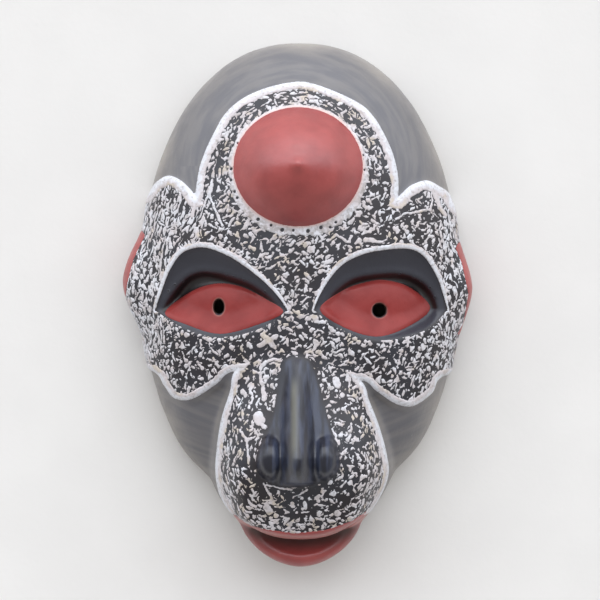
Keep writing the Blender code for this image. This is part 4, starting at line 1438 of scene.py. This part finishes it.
def white_dabs(front, paint):
    """The thick white blots and strokes that cover the painted zone between its lines."""
    room = dab_room(*front.points.T)
    strokes = laid_strokes(front, room)
    between = np.minimum(blot_amount(front.points, room), strokes - BLOT_GAP)
    rough = ragged(front.points, DAB_EDGE)
    amount = np.minimum(np.maximum(rough - strokes, between), room)
    height = DAB_HEIGHT * varied(front.points, DAB_THICKNESS)
    tint = dab_tint(front.points)
    dirt = np.clip(varied(front.points, DAB_DIRT), 0.0, 1.0)
    upper = front.points[:, 1][front.triangles].min(axis=1) > DAB_SPLIT_Y
    pieces = []
    for name, chosen in (("forehead_dabs", upper), ("face_dabs", ~upper)):
        part, used = part_of(front, chosen)
        values = [("tint", tint[used]), ("dirt", dirt[used])]
        pieces.append(skin(name, part, amount[used], height[used], DAB_BEVEL, paint, values))
    return pieces


def white_lines(front, paint):
    """The white lines along the edges of the painted zone and over the eyes."""
    amount, cream = line_amounts(front.points)
    height = LINE_HEIGHT * varied(front.points, LINE_THICKNESS)
    tint = np.clip(varied(front.points, LINE_TINT) + CREAM_TINT * cream, 0.0, 1.0)
    dirt = np.clip(varied(front.points, LINE_DIRT), 0.0, 1.0)
    values = [("tint", tint), ("dirt", dirt)]
    return skin("white_lines", front, amount, height, LINE_BEVEL, paint, values)


def cone_ring(front, paint):
    """The white ring round the cone, with a row of pricks through it."""
    x, y, _ = front.points.T
    rough = ragged(front.points, RING_EDGE)
    from_cone = (cone_share(x, y) - 1) * CONE_LENGTH / 2
    amount = np.minimum(from_cone + RING_LAP, (1 - ring_outer_share(x, y)) * RING_RADII[1] + rough)
    height = RING_HEIGHT * varied(front.points, RING_THICKNESS)
    for degrees, share, width in RING_PRICKS:
        turn = np.radians(degrees)
        px = CONE_CENTRE[0] + CONE_WIDTH / 2 * share * np.cos(turn)
        py = CONE_CENTRE[1] + CONE_LENGTH / 2 * share * np.sin(turn)
        from_prick = np.hypot(x - px, y - py) - width / 2
        amount = np.minimum(amount, from_prick)
        rim = np.exp(-(from_prick / PRICK_RIM_WIDTH) ** 2)
        height = height + PRICK_RIM_HEIGHT * RING_HEIGHT * rim
    values = [
        ("tint", np.clip(varied(front.points, RING_TINT), 0.0, 1.0)),
        ("pink", RING_PINKNESS * smooth_step(RING_PINK_REACH, 0.0, from_cone)),
        # The outer part of the ring is greyer.
        ("dirt", RING_GREYING * smooth_step(*RING_GREYING_REACH, from_cone)),
    ]
    return skin("cone_ring", front, amount, height, LINE_BEVEL, paint, values)


def red_skin(name, front, amount, paint, **shades):
    """A thin red layer, and how pale it is and how far painted shade darkens it at each point."""
    flat = np.zeros(len(amount))
    values = [(title, flat + shade) for title, shade in shades.items()]
    return skin(name, front, amount, flat + RED_HEIGHT, RED_BEVEL, paint, values)


def red_cone(front, paint):
    x, y, _ = front.points.T
    return red_skin("red_cone", front, (1 - cone_share(x, y)) * CONE_LENGTH / 2 + RING_LAP, paint)


def red_eyes(front, paint):
    """The red eyeballs, darkened all over as painted shade under the brows, and pale round their peepholes.
    """
    x, y, _ = front.points.T
    room = np.minimum(*(peephole_distance(x, y, eye) for eye in EYES))
    amount = np.maximum(*(-almond_distance(x, y, eye) for eye in EYES))
    amount = np.minimum(amount, room - PEEPHOLE_GAP)
    pale = smooth_step(PEEPHOLE_EDGE, PEEPHOLE_GAP, room)
    # The whole red of the eyes is darkened as painted shade under the brows.
    return red_skin("red_eyes", front, amount, paint, pale=pale, dark=EYE_SHADE)


def red_lips(front, paint):
    """The red lips and the red inside of the mouth, darkened along its slit as painted shade, with a
    painted highlight along the upper lip's edge.
    """
    x, y, z = front.points.T
    slit = SLIT_Y + SLIT_BEND * (x - MOUTH_CENTRE[0]) ** 2
    # Painted shade along the slit of the mouth, under the overhang of the upper lip, fading toward the
    # lower lip.
    dark = smooth_step(slit - SLIT_FADE, slit, y) * (y < slit + SLIT_EDGE)
    dark = dark * smooth_step(*SLIT_REACH, oval_share(x, y, MOUTH_CENTRE, MOUTH_RADII))
    # Painted highlight along the lower edge of the upper lip.
    edge = np.exp(-((y - slit - LIP_HIGHLIGHT_WIDTH) / LIP_HIGHLIGHT_WIDTH) ** 2) * (y > slit)
    pale = LIP_EDGE_HIGHLIGHT * edge
    return red_skin("red_lips", front, lip_amount(x, y, z), paint, pale=pale, dark=dark)


def red_ears(front, paint):
    return red_skin("red_ears", front, red_ear_amount(*front.points.T), paint)


def prick_points(middle, up):
    """The middle of a prick and the rings of points round it, on a surface that faces this way."""
    first = np.cross(up, (1.0, 0.0, 0.0))
    first /= np.linalg.norm(first)
    second = np.cross(up, first)
    points = [middle + up * PRICK_PROFILE[0][1]]
    for radius, height in PRICK_PROFILE[1:]:
        for turn in 2 * np.pi * np.arange(PRICK_SIDES) / PRICK_SIDES:
            out = radius * (np.cos(turn) * first + np.sin(turn) * second)
            points.append(middle + out + up * height)
    return points


def prick_faces(start):
    """The faces of a prick whose middle has this number: a fan, and the bands between its rings."""
    faces = []
    for side in range(PRICK_SIDES):
        after = (side + 1) % PRICK_SIDES
        faces.append((start, start + 1 + side, start + 1 + after))
        for ring in range(len(PRICK_PROFILE) - 2):
            inner = start + 1 + ring * PRICK_SIDES
            outer = inner + PRICK_SIDES
            faces.append((inner + side, outer + side, outer + after))
            faces.append((inner + side, outer + after, inner + after))
    return faces


def lid_pricks(body_surface, paint):
    """Small awl pricks with raised rims along the edges of the upper lids, their pits painted darker as
    painted shade.
    """
    points = []
    faces = []
    for place in LID_PRICKS:
        flat = np.hypot(*(body_surface.points[:, :2] - place).T)
        flat = np.where(body_surface.normals[:, 2] > 0, flat, FAR)
        number = int(np.argmin(flat))
        faces.extend(prick_faces(len(points)))
        points.extend(prick_points(body_surface.points[number], body_surface.normals[number]))
    repeats = [1] + [PRICK_SIDES] * (len(PRICK_PROFILE) - 1)
    radii = np.repeat([radius for radius, _ in PRICK_PROFILE], repeats)
    pit = np.tile(radii < PRICK_PIT, len(LID_PRICKS)).astype(float)
    black = np.ones(len(points))
    values = [("zone", black), ("socket", black), ("lid_shade", pit)]
    return new_object("lid_pricks", np.array(points), np.array(faces), paint, values)


class Nodes:
    """Short ways to add the nodes of a material or of the sky."""

    def __init__(self, owner):
        owner.use_nodes = True
        self.owner = owner
        self.tree = owner.node_tree
        self.coordinates = self.add("ShaderNodeTexCoord").outputs
        self.place = self.coordinates["Object"]

    def add(self, kind, **settings):
        node = self.tree.nodes.new(kind)
        for title, value in settings.items():
            setattr(node, title, value)
        return node

    def feed(self, socket, value):
        if isinstance(value, bpy.types.NodeSocket):
            self.tree.links.new(value, socket)
        elif isinstance(value, tuple) and len(value) == 3 and socket.type == "RGBA":
            socket.default_value = value + (1.0,)
        else:
            socket.default_value = value

    def split(self, vector):
        node = self.add("ShaderNodeSeparateXYZ")
        self.feed(node.inputs["Vector"], vector)
        return node.outputs

    def point_value(self, title):
        return self.add("ShaderNodeAttribute", attribute_name=title).outputs["Fac"]

    def noise_at(self, vector, size, detail):
        node = self.add("ShaderNodeTexNoise")
        self.feed(node.inputs["Vector"], vector)
        node.inputs["Scale"].default_value = 1 / size
        node.inputs["Detail"].default_value = detail
        return node.outputs["Fac"]

    def noise(self, size, detail, stretch=(1.0, 1.0, 1.0)):
        """Soft random values, with features of about this size in metres."""
        mapping = self.add("ShaderNodeMapping")
        self.feed(mapping.inputs["Vector"], self.place)
        mapping.inputs["Scale"].default_value = stretch
        return self.noise_at(mapping.outputs["Vector"], size, detail)

    def brush_rings(self, centre, size, detail, stretch):
        """Soft random streaks that run round a place in plan."""
        place = self.split(self.place)
        across = self.maths("SUBTRACT", place["X"], centre[0])
        along = self.maths("SUBTRACT", place["Y"], centre[1])
        squares = self.maths("MULTIPLY", across, across)
        squares = self.maths("ADD", squares, self.maths("MULTIPLY", along, along))
        angle = self.maths("ARCTAN2", along, across)
        turned = self.add("ShaderNodeCombineXYZ")
        self.feed(turned.inputs["X"], self.maths("POWER", squares, 0.5))
        self.feed(turned.inputs["Y"], self.maths("MULTIPLY", angle, stretch))
        return self.noise_at(turned.outputs["Vector"], size, detail)

    def ranged(self, value, low, high, to_low=0.0, to_high=1.0):
        node = self.add("ShaderNodeMapRange", interpolation_type="SMOOTHSTEP")
        self.feed(node.inputs["Value"], value)
        node.inputs["From Min"].default_value = low
        node.inputs["From Max"].default_value = high
        node.inputs["To Min"].default_value = to_low
        node.inputs["To Max"].default_value = to_high
        return node.outputs["Result"]

    def maths(self, operation, first, second):
        node = self.add("ShaderNodeMath", operation=operation)
        self.feed(node.inputs[0], first)
        self.feed(node.inputs[1], second)
        return node.outputs["Value"]

    def mixed(self, share, first, second, kind="RGBA"):
        node = self.add("ShaderNodeMix", data_type=kind)
        self.feed(node.inputs["Factor"], share)
        self.feed(node.inputs["A"], first)
        self.feed(node.inputs["B"], second)
        return node.outputs["Result"]

    def bump(self, height, distance, strength, under=None):
        node = self.add("ShaderNodeBump")
        self.feed(node.inputs["Height"], height)
        node.inputs["Distance"].default_value = distance
        node.inputs["Strength"].default_value = strength
        if under is not None:
            self.feed(node.inputs["Normal"], under)
        return node.outputs["Normal"]

    def finish(self, colour, roughness, normal, shine=PLAIN_SHINE):
        """The material, with these on its shader."""
        shader = self.tree.nodes["Principled BSDF"]
        self.feed(shader.inputs["Base Color"], colour)
        self.feed(shader.inputs["Roughness"], roughness)
        self.feed(shader.inputs["Normal"], normal)
        shader.inputs["Specular IOR Level"].default_value = shine
        return self.owner


def material_nodes(name):
    return Nodes(bpy.data.materials.new(name))


def black_paint():
    """Satin black over the whole mask, lifted to dark grey as a painted sheen, rubbed brown and lightened
    by a painted sheen at its steep outer edges, with bare wood in the hollow.
    """
    nodes = material_nodes("black_paint")
    bare = nodes.point_value("bare")
    gloss = nodes.point_value("gloss")
    cloud = nodes.noise(*BLACK_CLOUDS)
    streaks = nodes.ranged(nodes.brush_rings(CONE_CENTRE, *CROWN_STREAKS), 0.34, 0.66)
    # Painted sheen: the crown's black is a dark grey, as if lit by the pale sky.
    painted = nodes.mixed(streaks, CROWN_BLACK_WITH_SHEEN, CROWN_WORN_WITH_SHEEN)
    # Rubbed brown at the steep outer edges: real wear, and a painted sheen of the pale floor seen at
    # grazing angles.
    rubbed_and_sheen = nodes.maths("MULTIPLY", nodes.point_value("rub_and_sheen"), nodes.ranged(cloud, 0.25, 0.75, 0.45, 1.0))
    painted = nodes.mixed(rubbed_and_sheen, painted, RUBBED_BROWN_AND_SHEEN)
    zone_colour = nodes.mixed(nodes.ranged(cloud, 0.35, 0.65), ZONE_BLACK, ZONE_BLACK_BLUE)
    painted = nodes.mixed(nodes.point_value("zone"), painted, zone_colour)
    painted = nodes.mixed(nodes.point_value("socket"), painted, SOCKET_BLUE)
    # Painted shade: darker black under the lid edges and in the pricks' pits.
    painted = nodes.mixed(nodes.point_value("lid_shade"), painted, UNDER_LID_SHADE)
    strokes = nodes.noise(*NOSE_STROKES)
    nose_colour = nodes.mixed(nodes.ranged(strokes, 0.40, 0.62), NOSE_BLACK_COLOUR, NOSE_BLUE)
    # Painted highlight: a tan streak down the ridge of the nose.
    nose_colour = nodes.mixed(nodes.point_value("tan"), nose_colour, NOSE_HIGHLIGHT_TAN)
    painted = nodes.mixed(gloss, painted, nose_colour)
    grain = nodes.noise(*WOOD_GRAIN)
    wood = nodes.mixed(nodes.ranged(grain, 0.3, 0.7), WOOD_DARK, WOOD_LIGHT)
    wood = nodes.mixed(nodes.ranged(cloud, 0.5, 0.8), wood, WOOD_STAIN)
    rough = nodes.ranged(nodes.noise(*BLACK_PATCHES), 0.3, 0.7, *BLACK_ROUGHNESS)
    rough = nodes.mixed(gloss, rough, NOSE_ROUGHNESS, "FLOAT")
    rough = nodes.mixed(bare, rough, WOOD_ROUGHNESS, "FLOAT")
    normal = nodes.bump(nodes.noise(*BLACK_PORES), *BLACK_BUMP)
    normal = nodes.bump(grain, *WOOD_BUMP, normal)
    normal = nodes.bump(nodes.maths("MULTIPLY", gloss, strokes), *NOSE_BUMP, normal)
    return nodes.finish(nodes.mixed(bare, painted, wood), rough, normal, BLACK_SHINE)


def white_paint():
    """Thick chalky white, from bluish white to cream."""
    nodes = material_nodes("white_paint")
    tint = nodes.point_value("tint")
    specks = nodes.noise(*WHITE_SPECKS)
    colour = nodes.mixed(nodes.ranged(tint, 0.0, 1.0), WHITE_COOL, WHITE_PINK)
    colour = nodes.mixed(nodes.ranged(tint, 0.80, 0.96), colour, WHITE_CREAM)
    colour = nodes.mixed(nodes.point_value("pink"), colour, RING_PINK)
    colour = nodes.mixed(nodes.ranged(specks, 0.52, 0.74, 0.0, 0.6), colour, WHITE_DIRT)
    smears = nodes.ranged(nodes.noise(*WHITE_SMEARS), 0.40, 0.62)
    colour = nodes.mixed(nodes.maths("MULTIPLY", nodes.point_value("dirt"), smears), colour, WHITE_DIRT)
    normal = nodes.bump(nodes.noise(*WHITE_LUMPS), *WHITE_BUMP)
    return nodes.finish(colour, nodes.ranged(specks, 0.3, 0.7, *WHITE_ROUGHNESS), normal)


def red_paint(name, shine):
    """Terracotta red, a little uneven, with a soft shine."""
    nodes = material_nodes(name)
    cloud = nodes.noise(*RED_CLOUDS)
    fine = nodes.noise(*RED_GRAIN)
    colour = nodes.mixed(nodes.ranged(cloud, 0.3, 0.7), RED_DEEP, RED_WARM)
    colour = nodes.mixed(nodes.ranged(fine, 0.62, 0.80, 0.0, 0.35), colour, RED_SPOT)
    colour = nodes.mixed(nodes.point_value("pale"), colour, RED_PALE)
    # Painted shade: the red darkens where the eyes lie under the brows and along the slit of the mouth.
    colour = nodes.mixed(nodes.point_value("dark"), colour, RED_SHADE)
    rough = nodes.ranged(nodes.noise(*RED_PATCHES), 0.3, 0.7, *RED_ROUGHNESS)
    return nodes.finish(colour, rough, nodes.bump(fine, *RED_BUMP), shine)


def floor_material():
    """Pale matt plaster, very slightly mottled."""
    nodes = material_nodes("pale_floor")
    darker = tuple(FLOOR_MOTTLING * part for part in FLOOR_COLOUR)
    colour = nodes.mixed(nodes.ranged(nodes.noise(*FLOOR_CLOUDS), 0.3, 0.7), FLOOR_COLOUR, darker)
    normal = nodes.bump(nodes.noise(*FLOOR_GRAIN), *FLOOR_BUMP)
    return nodes.finish(colour, FLOOR_ROUGHNESS, normal)


def body_values(points, normals):
    """The values that the black paint reads at each point of the wood."""
    x, y, z = points.T
    in_hollow = front_distance(x, y, z) < -HOLLOW_START
    edge = z + BARE_RIM_WAVE * noise(x, y, z, 0.0060, 16)
    socket = np.zeros(len(points))
    lid_shade = np.zeros(len(points))
    for eye in EYES:
        over_eye = y > eye.almond[0][1]
        socket = np.maximum(socket, inward(socket_distance(x, y, eye), SOCKET_EDGE))
        # Under each lid edge the black is painted darker, a painted shade in the step over the eyeball.
        lid_shade = np.maximum(lid_shade, inward(lid_distance(x, y, eye), UNDER_LID_EDGE) * over_eye)
    # A painted highlight streak down the ridge of the nose.
    start = smooth_step(TAN_START_Y, TAN_START_Y - TAN_FADE_IN, y)
    end = smooth_step(TAN_END_Y, TAN_END_Y + TAN_FADE_OUT, y)
    # Steep sides get real rubbing and a painted sheen, where light falls across them at a grazing angle.
    steep = smooth_step(RUB_AND_SHEEN_START, RUB_AND_SHEEN_FULL, normals[:, 2])
    return [
        ("zone", inward(zone_distance(x, y), ZONE_EDGE)),
        ("rub_and_sheen", np.clip(steep * varied(points, RUBBING_AND_SHEEN), 0.0, 1.0)),
        ("bare", np.where(in_hollow, 1.0, smooth_step(*BARE_RIM, edge))),
        ("socket", socket),
        ("lid_shade", lid_shade),
        ("gloss", inward(nose_foot_distance(x, y), NOSE_EDGE)),
        ("tan", start * end * smooth_step(TAN_HALF_WIDTH, 0.0, np.abs(x - TAN_X))),
    ]


def camera():
    lens_data = bpy.data.cameras.new("camera")
    lens_data.sensor_fit = "HORIZONTAL"
    lens_data.sensor_width = SENSOR
    lens_data.lens = SENSOR * (CAMERA_HEIGHT - FOCUS_HEIGHT) / VIEW_WIDTH
    viewer = linked("camera", lens_data)
    viewer.location = (VIEW_MIDDLE_X, VIEW_MIDDLE_Y, CAMERA_HEIGHT)
    bpy.context.scene.camera = viewer


def soft_sun():
    """Wide soft daylight from beyond the crown."""
    lamp = bpy.data.lights.new("soft_sun", "SUN")
    lamp.energy = SUN_STRENGTH
    lamp.angle = SUN_SPREAD
    lamp.color = SUN_COLOUR
    holder = linked("soft_sun", lamp)
    holder.location = SUN_TOWARD
    holder.rotation_euler = Vector(SUN_TOWARD).to_track_quat("Z", "Y").to_euler()


def soft_sky():
    """Pale sky beyond the crown and dimmer ground beyond the chin."""
    world = bpy.data.worlds.new("soft_sky")
    nodes = Nodes(world)
    upward = nodes.split(nodes.coordinates["Generated"])["Y"]
    colour = nodes.mixed(nodes.ranged(upward, SKY_START, SKY_FULL), GROUND_COLOUR, SKY_COLOUR)
    nodes.feed(nodes.tree.nodes["Background"].inputs["Color"], colour)
    bpy.context.scene.world = world
    bpy.context.scene.view_settings.view_transform = "Standard"


def pale_floor():
    """A wide flat floor just under the mask's back rim."""
    half = FLOOR_SIZE / 2
    mesh = bpy.data.meshes.new("floor")
    corners = [(x, y, FLOOR_Z) for x, y in ((-half, -half), (half, -half), (half, half), (-half, half))]
    mesh.from_pydata(corners, [], [(0, 1, 2, 3)])
    mesh.materials.append(floor_material())
    floor = linked("floor", mesh)


def painted_front(whole):
    """The part of the front that carries white or red paint."""
    x, y, z = whole.points.T
    outside = front_distance(x, y, z) > -HOLLOW_START
    painted = zone_distance(x, y) < ZONE_MARGIN
    painted |= red_ear_amount(x, y, z) > -RED_MARGIN
    painted |= y < LINE_END_Y
    return part_of(whole, (outside & painted)[whole.triangles].all(axis=1))[0]


def main():
    camera()
    soft_sky()
    soft_sun()
    pale_floor()
    points, quads = traced_surface(mask_distance)
    whole = finer_surface(points, quads)
    points = whole.points[:len(points)]
    normals = whole.normals[:len(points)]
    front = painted_front(whole)
    black = black_paint()
    white = white_paint()
    red = red_paint("red_paint", RED_SHINE)
    dull_red = red_paint("dull_red_paint", DULL_RED_SHINE)
    body = new_object("carved_body", points, quads, black, body_values(points, normals))
    thin(body, BODY_TRIANGLES)
    pieces = [
        (body, "black_paint"),
        *((piece, "white_paint") for piece in white_dabs(front, white)),
        (white_lines(front, white), "white_paint"),
        (cone_ring(front, white), "white_paint"),
        (red_cone(front, red), "red_paint"),
        (red_eyes(front, dull_red), "red_paint"),
        (red_lips(front, red), "red_paint"),
        (red_ears(front, red), "red_paint"),
        (lid_pricks(Surface(points, normals, quads), black), "black_paint"),
    ]
    middle = (points.min(axis=0) + points.max(axis=0)) / 2
    cad_middle = (cad_low + cad_high) / 2
    move = Matrix.Translation((cad_middle[0] - middle[0], cad_middle[1] - middle[1], 0.0))
    for piece, slot in pieces:
        piece.data.transform(move)
        print(piece.name, len(piece.data.polygons), "faces")
        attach(piece, "root")
    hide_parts("carved_mask")


main()
